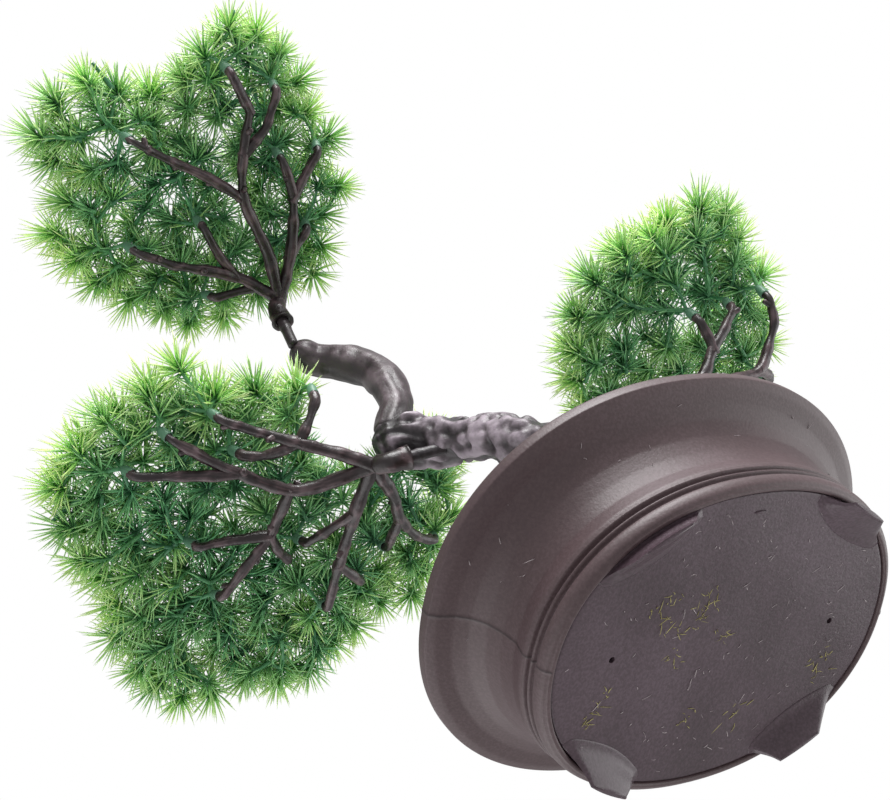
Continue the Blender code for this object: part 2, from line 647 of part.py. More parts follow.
def main():
    clear_scene()
    plastic = make_material("pot_plum_plastic", (0.085, 0.062, 0.062), 0.55)
    cement = make_material("cement", (0.45, 0.44, 0.42), 0.9)
    foam = make_material("foam", (0.25, 0.33, 0.2), 0.9)
    moss = make_material("moss", (0.24, 0.3, 0.09), 0.95)
    resin = make_material("trunk_resin", (0.1, 0.085, 0.085), 0.45)
    brown = make_material("branch_brown", (0.075, 0.04, 0.038), 0.5)
    green = make_material("needle_green", (0.05, 0.22, 0.04), 0.5)

    tree = make_empty("tree", (0, 0, 0))
    tree.location = (*POT_CENTRE, 0)
    make_pot_shell(tree, plastic)
    make_base_plate(tree, plastic)
    make_fillings(tree, cement, foam, moss)
    make_trunk_lower(tree, resin)
    make_trunk_upper(tree, resin)
    for branch in BRANCHES:
        socket = peg_line(branch)[2]
        pivot = make_empty(f"{branch}_pivot", socket, tree)
        make_frame(branch, pivot, brown)
        make_sprigs(branch, pivot, green)


main()
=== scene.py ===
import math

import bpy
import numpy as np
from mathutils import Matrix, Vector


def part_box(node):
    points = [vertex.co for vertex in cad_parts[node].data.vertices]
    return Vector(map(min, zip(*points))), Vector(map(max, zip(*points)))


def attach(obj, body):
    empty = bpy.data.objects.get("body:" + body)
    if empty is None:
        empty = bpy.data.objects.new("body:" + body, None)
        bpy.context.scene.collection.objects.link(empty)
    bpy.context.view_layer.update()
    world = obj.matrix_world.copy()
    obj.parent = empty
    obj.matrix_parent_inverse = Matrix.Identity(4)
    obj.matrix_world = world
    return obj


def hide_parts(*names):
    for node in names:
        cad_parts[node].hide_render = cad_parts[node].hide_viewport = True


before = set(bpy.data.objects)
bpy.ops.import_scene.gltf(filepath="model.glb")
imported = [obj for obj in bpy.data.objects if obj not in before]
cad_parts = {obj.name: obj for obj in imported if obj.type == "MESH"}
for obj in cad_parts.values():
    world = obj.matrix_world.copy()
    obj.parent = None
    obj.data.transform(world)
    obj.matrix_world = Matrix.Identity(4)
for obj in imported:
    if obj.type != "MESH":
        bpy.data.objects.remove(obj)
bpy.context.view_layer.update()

# An artificial table-top pine. Every piece is worked out in metres in the frame's own space: the
# routes of the trunk and the branches are listed in millimetres from the pot's centre and up from
# the bottom of its ring.

MM = 0.001
FULL_TURN = 2 * math.pi
GOLDEN_TURN = math.pi * (3 - math.sqrt(5))


def unit(vectors):
    """The vectors, each scaled to length one."""
    vectors = np.array(vectors, float)
    return vectors / np.linalg.norm(vectors, axis=-1, keepdims=True)


def new_object(name, data):
    """An object with this data, in the scene."""
    made = bpy.data.objects.new(name, data)
    bpy.context.scene.collection.objects.link(made)
    return made


def add_node(tree, kind, inputs, **settings):
    """A shader node with its settings, and with each input fed by another node's output or set to
    a number or colour."""
    node = tree.nodes.new("ShaderNode" + kind)
    for name, value in settings.items():
        setattr(node, name, value)
    for key, value in inputs.items():
        if isinstance(value, bpy.types.NodeSocket):
            tree.links.new(value, node.inputs[key])
        else:
            node.inputs[key].default_value = value
    return node


# ---------------------------------------------------------------- camera, light and floor

EYE = (286.6, 203.5, -271.6)
SIGHT = (-0.5073, -0.3594, 0.7833)
RIGHTWARDS = (-0.8603, 0.1577, -0.4848)
LENS = 56.63
LAMP_TARGET = (0, 0, 0.13)
SURROUND_LIGHT = 0.6
FLOOR_HALF = 40
FLOOR_GLOW = 0.56

# Each soft box: place and width in metres, and power in watts.
SOFT_BOXES = {
    "back_soft_box": ((-0.1, 1.1, 0.7), 0.7, 30),
    "side_soft_box": ((-1.1, 0.1, -0.35), 1.2, 9),
    "low_soft_box": ((1.1, -0.5, -0.3), 1.2, 4),
    "front_soft_box": ((0.45, -1.1, -0.25), 1.2, 7),
}


def turned(right, back, place):
    """The matrix of an object at a place, with its right side and its back turned these ways."""
    matrix = np.eye(4)
    matrix[:3, :3] = np.stack([right, np.cross(back, right), back], axis=1)
    matrix[:3, 3] = place
    return Matrix(matrix.tolist())


def make_camera():
    """A camera under the tree, looking up at the pot's foot."""
    data = bpy.data.cameras.new("camera")
    data.sensor_width = 36
    data.lens = LENS
    data.clip_start, data.clip_end = 0.01, 20
    camera = new_object("camera", data)
    back = -unit(SIGHT)
    right = unit(RIGHTWARDS - np.dot(RIGHTWARDS, back) * back)
    camera.matrix_world = turned(right, back, np.array(EYE) * MM)
    bpy.context.scene.camera = camera


def make_world():
    """A white surround, softer as a light than it looks."""
    world = bpy.data.worlds.new("studio")
    bpy.context.scene.world = world
    world.use_nodes = True
    tree = world.node_tree
    tree.nodes.clear()
    light = add_node(tree, "Background", {"Color": (1, 1, 1, 1), "Strength": SURROUND_LIGHT})
    seen = add_node(tree, "Background", {"Color": (1, 1, 1, 1)})
    camera_ray = add_node(tree, "LightPath", {}).outputs["Is Camera Ray"]
    mix = add_node(tree, "MixShader", {"Fac": camera_ray, 1: light.outputs[0], 2: seen.outputs[0]})
    add_node(tree, "OutputWorld", {"Surface": mix.outputs[0]})


def make_lamp(name, place, size, power):
    """A square soft box that faces the middle of the tree."""
    data = bpy.data.lights.new(name, "AREA")
    data.size, data.energy = size, power
    back = unit(np.subtract(place, LAMP_TARGET))
    right = unit(np.cross((0.02, 0.01, 1), back))
    new_object(name, data).matrix_world = turned(right, back, place)


def make_floor():
    """A pale table top that shows from above only, so that the pot's foot can be seen from below."""
    mesh = bpy.data.meshes.new("floor")
    corners = [(-1, -1), (1, -1), (1, 1), (-1, 1)]
    mesh.from_pydata([(x * FLOOR_HALF, y * FLOOR_HALF, 0) for x, y in corners], [], [(0, 1, 2, 3)])
    material = bpy.data.materials.new("table_top")
    material.use_nodes = True
    tree = material.node_tree
    shader = tree.nodes["Principled BSDF"]
    for name, value in (("Base Color", (0.32, 0.32, 0.315, 1)), ("Roughness", 0.9),
                        ("Specular IOR Level", 0.0), ("Emission Color", (1, 1, 0.99, 1)),
                        ("Emission Strength", FLOOR_GLOW)):
        shader.inputs[name].default_value = value
    under = add_node(tree, "NewGeometry", {}).outputs["Backfacing"]
    clear = add_node(tree, "BsdfTransparent", {}).outputs[0]
    mix = add_node(tree, "MixShader", {"Fac": under, 1: shader.outputs[0], 2: clear})
    tree.links.new(mix.outputs[0], tree.nodes["Material Output"].inputs["Surface"])
    mesh.materials.append(material)
    floor = new_object("floor", mesh)
    floor.visible_shadow = floor.visible_diffuse = floor.visible_glossy = False


make_camera()
make_world()
for lamp_name, setting in SOFT_BOXES.items():
    make_lamp(lamp_name, *setting)
make_floor()
bpy.context.scene.view_settings.view_transform = "Standard"

# ---------------------------------------------------------------- sizes, in metres

pot_low, pot_high = (np.array(corner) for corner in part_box("pot_shell"))
POT_MIDDLE = (pot_low + pot_high) / 2
POT_LENGTH, POT_WIDTH = (pot_high - pot_low)[:2]
RING_LEVEL = pot_low[2]
RIM_LEVEL = pot_high[2]
FLOOR_MIDDLE = POT_MIDDLE * (1, 1, 0)
ORIGIN = FLOOR_MIDDLE + (0, 0, RING_LEVEL)
OVAL_POWER = 2.15
RIM_LIP = 4.6 * MM
RIM_OVERHANG = 19.4 * MM
RING_INSET = 20.8 * MM
POT_WALL = 2.2 * MM
MOULDING_DEPTH = 1.3 * MM
WAIST_RISE = 11.6 * MM
PLATE_LEVEL = RING_LEVEL + 0.8 * MM
PLATE_THICKNESS = 2.2 * MM
PLATE_DISH = 0.55 * MM
LEDGE_WIDTH = 3.5 * MM
LEDGE_THICKNESS = 1.8 * MM
FOOT_SPAN = (31, 70)
SOLE_SPAN = (47, 63)
FOOT_DEPTH = 10 * MM
FOOT_FLARE = 2.4 * MM
FOOT_SOLE = 2.4 * MM
VENT_RADIUS = 1.1 * MM
VENT_REACH = 46 * MM
GAP = 0.3 * MM
SEAT_INSET = RING_INSET + 1.5 * MM
PLATE_INSET = SEAT_INSET + GAP
MOSS_INSET = RIM_OVERHANG + POT_WALL + GAP

TRUNK_RADIUS = 9.5 * MM
ROOT_RADIUS = 15 * MM
UPPER_RADIUS = 7.6 * MM
SPIGOT_RADIUS = 7 * MM
PEG_RADIUS = 2.3 * MM
SOCKET_DEPTH = 7 * MM
SOCKET_WALL = 1.7 * MM
STEM_RADIUS = 3.4 * MM
TWIG_RADIUS = 1.7 * MM
TIP_RISE = 4 * MM
LIMB_ROOT = 1.5 * MM
HUB_RADIUS = 2 * MM
ROUTE_STEP = 0.5 * MM
LIMB_STEP = 0.45 * MM

# Needle whorls: how far apart they stand, and how long and thick a needle is.
WHORL_PITCH = 14.6 * MM
WHORL_REACH = 13 * MM
TRUNK_BERTH = 28 * MM
NEEDLE_RADIUS = 0.34 * MM
STALK_NEEDLE_STEP = 1.1 * MM
# Layers of a pad: whorl pitch, distance inside the pad's edge and lift, both in mm, needles to a
# whorl, and how much painted light their needles get away from the edge.
LAYERS = [(WHORL_PITCH, 3.2, -1.5, 62, 0.1), (WHORL_PITCH, 6.5, 4, 50, 0.45),
          (1.2 * WHORL_PITCH, 12, -6, 40, 0)]

# ---------------------------------------------------------------- routes, in millimetres

TRUNK_ROUTE = [(1, 12, 53), (4, 16, 63), (10, 22, 75), (18, 27, 93), (24, 23, 111), (31, 17, 126),
               (39, 11, 138), (49, 8, 146)]
UPPER_ROUTE = [(45, 11, 153), (39, 14, 163), (36, 17, 176), (35, 18, 189), (38, 17, 200),
               (44, 16, 208), (52, 15, 214), (61, 20, 217)]
BOUGH_ROUTE = [(10, 24, 74), (-4, 27, 85), (-22, 26, 93), (-38, 23, 99)]

# Each branch: its peg (root, direction, length to the socket), its limbs, which limbs carry a
# sprig, its pad's edge in plan, level and rise, and the bare stalks that reach past the needles.
BRANCHES = {
    "top": {
        "peg": ((61, 21, 216), (-0.04, 0.33, 0.94), 15),
        "limbs": [
            [(57, 31, 243)],
            [(57, 31, 243), (66, 36, 246), (76, 40, 248), (90, 43, 248), (104, 45, 249), (119, 50, 250)],
            [(76, 40, 248), (84, 49, 249), (91, 60, 251)],
            [(66, 36, 246), (74, 33, 249), (83, 30, 251)],
            [(57, 31, 243), (64, 52, 246), (76, 73, 248), (78, 92, 249), (77, 110, 250)],
            [(76, 73, 248), (92, 82, 249), (108, 88, 250), (124, 95, 250)],
            [(77, 110, 250), (83, 119, 250), (86, 124, 251)],
            [(78, 92, 249), (69, 104, 250), (66, 118, 251)],
            [(57, 31, 243), (53, 50, 246), (54, 74, 248), (60, 90, 250)],
            [(54, 74, 248), (49, 84, 250), (44, 94, 251)],
            [(53, 50, 246), (45, 60, 250)],
        ],
        "sprigs": {"end": 1, "near": 2, "low": 3, "far": 5, "crown": 6, "shoulder": 7, "inner": 8,
                   "back": 9, "stub": 10},
        "outline": [(161, 104), (146, 116), (138, 123), (123, 116), (109, 119), (92, 138),
                    (83, 149), (65, 140), (53, 133), (45, 122), (30, 98), (18, 73), (26, 58),
                    (28, 34), (58, 22), (81, 6), (123, 21), (138, 32), (156, 50), (149, 75),
                    (164, 90)],
        "pad": (265, 6),
        "spikes": [((79, 127, 262), (82, 147, 266)), ((130, 113, 262), (138, 122, 265)),
                   ((141, 92, 262), (162, 91, 265))],
    },
    "left": {
        "peg": ((38, 14, 125), (0.95, -0.27, 0.16), 14),
        "limbs": [
            [(63, 5, 133)],
            [(63, 5, 133), (74, 8, 138), (89, 11, 144), (102, 14, 148), (116, 18, 152)],
            [(89, 11, 144), (99, 5, 148), (106, 3, 153)],
            [(89, 11, 144), (84, 18, 148), (80, 24, 153)],
            [(63, 5, 133), (77, -3, 138), (91, -7, 142), (109, -1, 146), (121, 4, 150), (134, 11, 153)],
            [(109, -1, 146), (128, -2, 150), (146, -2, 153)],
            [(91, -7, 142), (94, -29, 148), (101, -42, 150), (108, -56, 153)],
            [(94, -29, 148), (108, -31, 151), (119, -34, 154)],
            [(94, -29, 148), (88, -38, 151), (82, -44, 154)],
            [(63, 5, 133), (64, -18, 139), (63, -45, 147), (62, -67, 153)],
            [(64, -18, 139), (72, -30, 147), (76, -36, 152)],
            [(63, -45, 147), (55, -52, 150), (48, -58, 154)],
            [(63, 5, 133), (50, -10, 137), (41, -25, 143), (27, -38, 150), (16, -43, 154)],
            [(41, -25, 143), (40, -36, 149), (38, -44, 154)],
        ],
        "sprigs": {"upper_end": 1, "upper_side": 2, "upper_stub": 3, "middle_end": 4, "tip": 5,
                   "lower_end": 6, "lower_side": 7, "lower_stub": 8, "front_end": 9,
                   "front_stub": 10, "front_side": 11, "back_end": 12, "back_stub": 13},
        "outline": [(177, -11), (170, 3), (160, 18), (143, 29), (129, 40), (112, 27), (80, 26),
                    (57, 12), (19, 5), (0, -10), (-5, -36), (6, -58), (0, -77), (33, -84),
                    (48, -107), (66, -116), (84, -113), (115, -116), (134, -103), (150, -76),
                    (151, -58), (165, -52), (167, -35)],
        "pad": (168, 6),
        "spikes": [((161, -15, 166), (171, -26, 169))],
    },
    "right": {
        "peg": ((-36, 22, 98), (-0.78, 0.50, 0.36), 12),
        "limbs": [
            [(-62, 37, 110)],
            [(-62, 37, 110), (-71, 44, 114), (-78, 51, 120), (-86, 57, 125), (-94, 64, 131)],
            [(-78, 51, 120), (-78, 55, 124), (-76, 60, 129)],
            [(-62, 37, 110), (-82, 40, 113), (-101, 43, 115), (-110, 52, 122), (-114, 60, 126),
             (-114, 68, 132)],
            [(-101, 43, 115), (-114, 38, 122), (-124, 32, 130)],
            [(-62, 37, 110), (-65, 25, 116), (-74, 16, 124), (-86, 14, 131)],
            [(-65, 25, 116), (-58, 18, 124), (-52, 16, 130)],
        ],
        "sprigs": {"inner_end": 1, "inner_stub": 2, "outer_end": 3, "outer_side": 4, "rear_end": 5,
                   "rear_side": 6},
        "outline": [(-26, 60), (-40, 84), (-54, 92), (-67, 99), (-85, 108), (-102, 106),
                    (-114, 87), (-135, 67), (-142, 45), (-136, 22), (-108, 3), (-72, -1),
                    (-40, 10), (-25, 33)],
        "pad": (152, 6),
        "spikes": [],
    },
}

# ---------------------------------------------------------------- materials


def tint(red, green, blue):
    """A display colour from 0 to 255 as linear light."""
    channels = np.array((red, green, blue)) / 255
    linear = np.where(channels > 0.04045, ((channels + 0.055) / 1.055) ** 2.4, channels / 12.92)
    return (*linear.tolist(), 1)


class Finish:
    """A procedural material: patterns on object coordinates or attributes drive one shader."""

    def __init__(self, name, specular):
        self.material = bpy.data.materials.new(name)
        self.material.use_nodes = True
        self.tree = self.material.node_tree
        self.shader = self.tree.nodes["Principled BSDF"]
        self.shader.inputs["Specular IOR Level"].default_value = specular
        self.place = self.add("TexCoord", "Object", {})

    def add(self, kind, output, inputs, **settings):
        """The named output of a new node."""
        return add_node(self.tree, kind, inputs, **settings).outputs[output]

    def noise(self, size, detail):
        """Cloudy noise whose blotches are about this size, in metres."""
        return self.add("TexNoise", "Fac", {"Scale": 0.5 / size, "Detail": detail,
                                            "Vector": self.place})

    def cells(self, size):
        """Distance to the nearest of scattered points about this far apart, in metres."""
        return self.add("TexVoronoi", "Distance", {"Scale": 1 / size, "Vector": self.place})

    def value(self, name):
        """A number kept at each point of the mesh."""
        return self.add("Attribute", "Fac", {}, attribute_name=name)

    def fade(self, source, start, end, low=0.3, high=0.7):
        """The source spread from low..high onto start..end."""
        return self.add("MapRange", "Result", {"Value": source, "From Min": low, "From Max": high,
                                               "To Min": start, "To Max": end})

    def sum(self, a, b, operation="ADD"):
        """Two numbers or sources added, or put together in another way."""
        return self.add("Math", "Value", {0: a, 1: b}, operation=operation)

    def ramp(self, source, *stops):
        """Colours met one after another as the source rises."""
        node = add_node(self.tree, "ValToRGB", {"Fac": source})
        elements = node.color_ramp.elements
        while len(elements) < len(stops):
            elements.new(0.5)
        for element, (position, *channels) in zip(elements, stops):
            element.position, element.color = position, tint(*channels)
        return node.outputs["Color"]

    def blend(self, share, a, b):
        """Colour a where the share is 0, colour b where it is 1."""
        return self.add("Mix", "Result", {"Factor": share, "A": a, "B": b}, data_type="RGBA")

    def made(self, colour, roughness, relief, height, strength):
        """The material with this colour and roughness, its surface lifted by the relief."""
        normal = self.add("Bump", "Normal", {"Distance": height, "Strength": strength,
                                             "Height": relief})
        for name, source in (("Base Color", colour), ("Roughness", roughness), ("Normal", normal)):
            self.tree.links.new(source, self.shader.inputs[name])
        return self.material


def plum_plastic(name, dark, middle, pale, roughness):
    """Satin brown-plum plastic with a fine moulded grain, faint cloudy wear and a dark seam."""
    finish = Finish(name, 0.4)
    clouds = finish.noise(24 * MM, 4)
    grain = finish.noise(0.5 * MM, 2)
    shade = finish.sum(finish.fade(clouds, 0, 0.55), finish.fade(grain, 0, 0.45, 0.35, 0.65))
    plain = finish.ramp(shade, (0, *dark), (0.5, *middle), (1, *pale))
    seam = finish.sum(finish.value("seam"), 0.7, "MULTIPLY")
    return finish.made(finish.blend(seam, plain, tint(30, 22, 24)),
                       finish.fade(clouds, roughness - 0.07, roughness + 0.06),
                       grain, 0.12 * MM, 0.7)


def bark_resin(name, dark, middle, pale, roughness, mottling):
    """Moulded bark coloured by its relief: dark hollows, a middle tone, and pale ridges. The dark
    hollows are painted shade; the pale ridges are partly a dry-brushed tone and partly painted
    highlight.
    """
    finish = Finish(name, 0.5)
    mottle = finish.noise(1.6 * MM, 4)
    grain = finish.noise(0.45 * MM, 3)
    height = finish.sum(finish.value("ridge"), finish.fade(mottle, -mottling, mottling))
    return finish.made(finish.ramp(height, (0.15, *dark), (0.55, *middle), (0.98, *pale)),
                       finish.fade(mottle, roughness - 0.1, roughness + 0.12),
                       finish.sum(mottle, finish.sum(grain, 0.35, "MULTIPLY")), 0.45 * MM, 0.6)


def needle_plastic():
    """Soft green plastic: dark at a needle's root, yellow-green and paler at its tip. A brighter copy of
    these greens is blended in needle by needle as painted light, strongest towards a pad's edge and on
    its top layer.
    """
    finish = Finish("needle_plastic", 0.45)
    mottle = finish.noise(6 * MM, 2)
    share = finish.sum(finish.value("tip"), finish.fade(mottle, -0.12, 0.12))
    # The plain greens, and a brighter copy of them that paints light onto the outer and upper needles.
    dull = finish.ramp(share, (0, 54, 108, 76), (0.5, 86, 158, 102), (1, 136, 206, 138))
    fresh = finish.ramp(share, (0, 94, 174, 92), (0.3, 166, 232, 116), (0.7, 220, 250, 152),
                        (1, 238, 253, 192))
    green = finish.blend(finish.value("fresh"), dull, fresh)
    return finish.made(finish.blend(finish.value("collar"), green, tint(84, 124, 100)),
                       finish.fade(mottle, 0.36, 0.5), finish.noise(0.6 * MM, 2), 0.06 * MM, 0.4)


def rough_filling(name, dark, pale, size, height):
    """A dull open material with blotches and pores of one size."""
    finish = Finish(name, 0.2)
    mottle = finish.noise(size, 5)
    return finish.made(finish.ramp(mottle, (0.3, *dark), (0.7, *pale)),
                       finish.fade(mottle, 0.8, 0.97),
                       finish.sum(mottle, finish.cells(size)), height, 0.8)


def moss_fluff():
    """Dyed moss: yellow-green strands that pale towards their ends, over a dark mat."""
    finish = Finish("moss_fluff", 0.2)
    mottle = finish.noise(5 * MM, 4)
    share = finish.sum(finish.value("tip"), finish.fade(mottle, -0.2, 0.2))
    return finish.made(finish.ramp(share, (0, 50, 62, 22), (0.5, 104, 122, 44), (1, 164, 172, 84)),
                       finish.fade(mottle, 0.75, 0.95), finish.noise(0.8 * MM, 4), 0.5 * MM, 0.8)


def straw_fibre():
    """Pale dried fibres, from straw yellow to off-white."""
    finish = Finish("straw_fibre", 0.3)
    mottle = finish.noise(3 * MM, 2)
    straw = finish.ramp(mottle, (0.3, 128, 120, 74), (0.7, 176, 168, 112))
    return finish.made(finish.blend(finish.value("fresh"), straw, tint(168, 158, 160)),
                       finish.fade(mottle, 0.6, 0.8), mottle, 0.05 * MM, 0.5)


# ---------------------------------------------------------------- surfaces


def placed(points):
    """Route points in millimetres as metres in the frame."""
    return np.array(points, float) * MM + ORIGIN


def waves(points, size, seed):
    """Smooth three-dimensional noise of about unit height: sixteen sine waves of roughly one
    length, added in random directions and phases."""
    count = 16
    rng = np.random.default_rng(seed)
    ways = unit(rng.normal(size=(count, 3)))
    ways *= FULL_TURN / (size * rng.uniform(0.7, 1.5, (count, 1)))
    phases = rng.uniform(0, FULL_TURN, count)
    return np.sin(points @ ways.T + phases).sum(axis=-1) / math.sqrt(count / 2)


def curve_between(a, b, c, d, t):
    """The Catmull-Rom curve at a share t of the way from b to c, with a before them and d after:
    (2b + (c - a) t + (2a - 5b + 4c - d) t^2 + (3b - a - 3c + d) t^3) / 2."""
    return 0.5 * (2 * b + (c - a) * t + (2 * a - 5 * b + 4 * c - d) * t ** 2
                  + (3 * b - a - 3 * c + d) * t ** 3)


def lengths_along(points):
    """How far each point lies along the line through them all."""
    return np.concatenate([[0], np.linalg.norm(np.diff(points, axis=0), axis=1).cumsum()])


def smooth_route(points, steps):
    """A Catmull-Rom curve through the points, with this many samples to each stretch."""
    points = np.array(points, float)
    ends = np.vstack([2 * points[0] - points[1], points, 2 * points[-1] - points[-2]])
    a, b, c, d = (ends[i:len(ends) - 3 + i, None] for i in range(4))
    t = (np.arange(steps) / steps)[None, :, None]
    return np.vstack([curve_between(a, b, c, d, t).reshape(-1, 3), points[-1:]])


def even_route(points, step):
    """The smooth curve through the points, sampled at equal steps of its length."""
    fine = smooth_route(points, 24)
    lengths = lengths_along(fine)
    count = max(3, int(round(lengths[-1] / step)) + 1)
    at = np.linspace(0, lengths[-1], count)
    return np.stack([np.interp(at, lengths, fine[:, k]) for k in range(3)], axis=1), at


def carried_frames(route):
    """Two cross directions at each point of a route, carried along it without twisting."""
    tangents = unit(np.gradient(route, axis=0))
    across = np.cross(tangents[0], (0.31, 0.9, 0.2))
    sides = np.empty_like(route)
    for i, tangent in enumerate(tangents):
        across = sides[i] = unit(across - tangent * np.dot(across, tangent))
    return sides, np.cross(tangents, sides)


def rounded(at, radii, start=1.0, end=1.0):
    """Radii that close in quarter circles at the two ends of a tube. The shares say how much of
    the radius each end closes over, and 0 leaves that end square."""
    left, right = at - at[0], at[-1] - at
    for gap, share, radius in ((left, start, radii[0]), (right, end, radii[-1])):
        if share:
            reach = np.clip(gap / (radius * share), 0, 1)
            radii = radii * np.sqrt(np.clip(1 - (1 - reach) ** 2, 0.0004, 1))
    return radii


def ring_ways(turns, side, other):
    """Directions round each point: cos turn * side + sin turn * other side."""
    return np.cos(turns)[:, None] * side[:, None] + np.sin(turns)[:, None] * other[:, None]


def tube_grid(route, radii, sides, relief=None):
    """Rows of points along a route: centre + radius * ring way, for evenly spaced turns.
    The relief is added to the radius; it is a function of the plain points, the turn and the row."""
    turns = np.arange(sides) * FULL_TURN / sides
    ways = ring_ways(turns, *carried_frames(route))
    grid = route[:, None] + np.broadcast_to(radii, len(route))[:, None, None] * ways
    if relief is None:
        return grid, None
    height, ridge = relief(grid, turns)
    return grid + height[..., None] * ways, ridge


def bark_tube(route, radii, sides, relief):
    """A closed tube along a route, coloured by its relief: painted shade in its hollows, painted
    highlight on its crests.
    """
    grid, ridge = tube_grid(route, radii, sides, relief)
    return wrap_grid(grid, {"ridge": ridge})


def wrap_grid(grid, values=None, closed=False):
    """A surface from rows of closed rings: quads between rows, and a fan to the middle of each end
    ring, or a join from the last row to the first."""
    rows, sides = grid.shape[:2]
    index = np.arange(rows * sides).reshape(rows, sides)
    low, high = (index, np.roll(index, -1, axis=0)) if closed else (index[:-1], index[1:])
    quads = np.stack([low, np.roll(low, -1, 1), np.roll(high, -1, 1), high], axis=-1).reshape(-1, 4)
    points, faces = grid.reshape(-1, 3), [quads]
    values = {name: np.broadcast_to(value, (rows, sides)).reshape(-1)
              for name, value in (values or {}).items()}
    if not closed:
        first, last, poles = index[0], index[-1], rows * sides
        points = np.vstack([points, grid[0].mean(axis=0), grid[-1].mean(axis=0)])
        faces.append(np.stack([np.full(sides, poles), np.roll(first, -1), first], axis=1))
        faces.append(np.stack([np.full(sides, poles + 1), last, np.roll(last, -1)], axis=1))
        values = {name: np.append(value, (value[0], value[-1])) for name, value in values.items()}
    return points, faces, values


def facing_out(surface):
    """The closed surface, turned right side out where its volume comes out negative."""
    points, faces, values = surface
    volume = 0.0
    for group in faces:
        for k in range(1, group.shape[1] - 1):
            a, b, c = points[group[:, 0]], points[group[:, k]], points[group[:, k + 1]]
            volume += np.einsum("ij,ij->", a, np.cross(b, c))
    return (points, [group[:, ::-1] for group in faces], values) if volume < 0 else surface


def make_mesh(name, surfaces):
    """One mesh from several closed surfaces, with their numbers per point."""
    keys = sorted({key for _, _, values in surfaces for key in values})
    starts = np.cumsum([0] + [len(points) for points, _, _ in surfaces])
    points = np.vstack([points for points, _, _ in surfaces])
    groups = [group + start for (_, faces, _), start in zip(surfaces, starts) for group in faces]
    corners = np.concatenate([group.reshape(-1) for group in groups])
    sizes = np.concatenate([np.full(len(group), group.shape[1]) for group in groups])
    mesh = bpy.data.meshes.new(name)
    mesh.vertices.add(len(points))
    mesh.vertices.foreach_set("co", points.astype(np.float32).reshape(-1))
    mesh.loops.add(len(corners))
    mesh.loops.foreach_set("vertex_index", corners.astype(np.int32))
    mesh.polygons.add(len(sizes))
    firsts = np.concatenate([[0], sizes.cumsum()[:-1]])
    mesh.polygons.foreach_set("loop_start", firsts.astype(np.int32))
    mesh.update(calc_edges=True)
    mesh.validate()
    for key in keys:
        column = np.concatenate([values.get(key, np.zeros(len(points)))
                                 for points, _, values in surfaces]).astype(np.float32)
        mesh.attributes.new(key, "FLOAT", "POINT").data.foreach_set("value", column)
    mesh.shade_smooth()
    return mesh


def make_piece(name, surfaces, material, body, nodes, sharp=None):
    """A piece from several closed surfaces. It rides on a body and stands for its CAD nodes. Its
    edges are sharp past an angle, in degrees, where one is given."""
    mesh = make_mesh(name, surfaces)
    if sharp:
        mesh.set_sharp_from_angle(angle=math.radians(sharp))
    mesh.materials.append(material)
    obj = new_object(name, mesh)
    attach(obj, body)
    if nodes:
        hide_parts(*nodes)
    return obj


# ---------------------------------------------------------------- pot, plate and feet


def oval(inset, level, turns):
    """Superellipse |x/a|^p + |y/b|^p = 1 of the rim moved inwards by an inset, at one level."""
    power = 2 / OVAL_POWER
    x = (POT_LENGTH / 2 - inset) * np.sign(np.cos(turns)) * np.abs(np.cos(turns)) ** power
    y = (POT_WIDTH / 2 - inset) * np.sign(np.sin(turns)) * np.abs(np.sin(turns)) ** power
    level = np.broadcast_to(level, x.shape)
    return np.stack([x + POT_MIDDLE[0], y + POT_MIDDLE[1], level], axis=-1)


def even_turns(count, extra=()):
    """Turns spaced evenly along the oval, with extra ones near the mould's parting line."""
    fine = np.linspace(0, FULL_TURN, 4001)
    lengths = lengths_along(oval(0, 0, fine))
    turns = np.interp(np.linspace(0, lengths[-1], count, endpoint=False), lengths, fine)
    return np.unique(np.concatenate([turns, np.mod(extra, FULL_TURN)])) if len(extra) else turns


def eased(profile, reach, rounds=2):
    """The closed or open profile with each corner cut back, again and again, to a small round."""
    profile = np.array(profile, float)
    for _ in range(rounds):
        after = np.roll(profile, -1, axis=0) - profile
        length = np.linalg.norm(after, axis=1, keepdims=True)
        share = np.minimum(reach / np.maximum(length, 1e-9), 0.3)
        leave = profile + after * share
        arrive = np.roll(profile + after * (1 - share), 1, axis=0)
        profile = np.stack([arrive, leave], axis=1).reshape(-1, 2)
        reach *= 0.45
    return profile


def outer_profile():
    """Inset and level down the outside of the pot: lip, hollow shelf, waist, moulding, ring."""
    lip_base = RIM_LEVEL - RIM_LIP
    shelf = [(0.15, 0.05), (0.42, 0.09), (0.66, 0.19), (0.84, 0.34), (0.95, 0.56), (1.0, 0.78)]
    waist = RING_LEVEL + WAIST_RISE
    moulding = [(-1.2, 0), (-1.0, 1.2), (-0.9, 1.8), (0.4, 2.2), (0.5, 3.0), (-0.7, 3.5),
                (-0.8, 4.4), (0.4, 4.8), (0.5, 5.6), (-0.6, 6.1), (-0.7, 8.2), (-0.1, 10.4)]
    profile = [(0.4 * MM, RIM_LEVEL), (0, RIM_LEVEL - 0.5 * MM), (0, lip_base + 0.4 * MM),
               (0.5 * MM, lip_base)]
    profile += [(RIM_OVERHANG * along, lip_base - (lip_base - waist) * down) for along, down in shelf]
    profile += [(RIM_OVERHANG + across * MOULDING_DEPTH, waist - down * MM)
                for across, down in moulding]
    return profile + [(RING_INSET - 0.3 * MM, RING_LEVEL + 0.5 * MM), (RING_INSET, RING_LEVEL)]


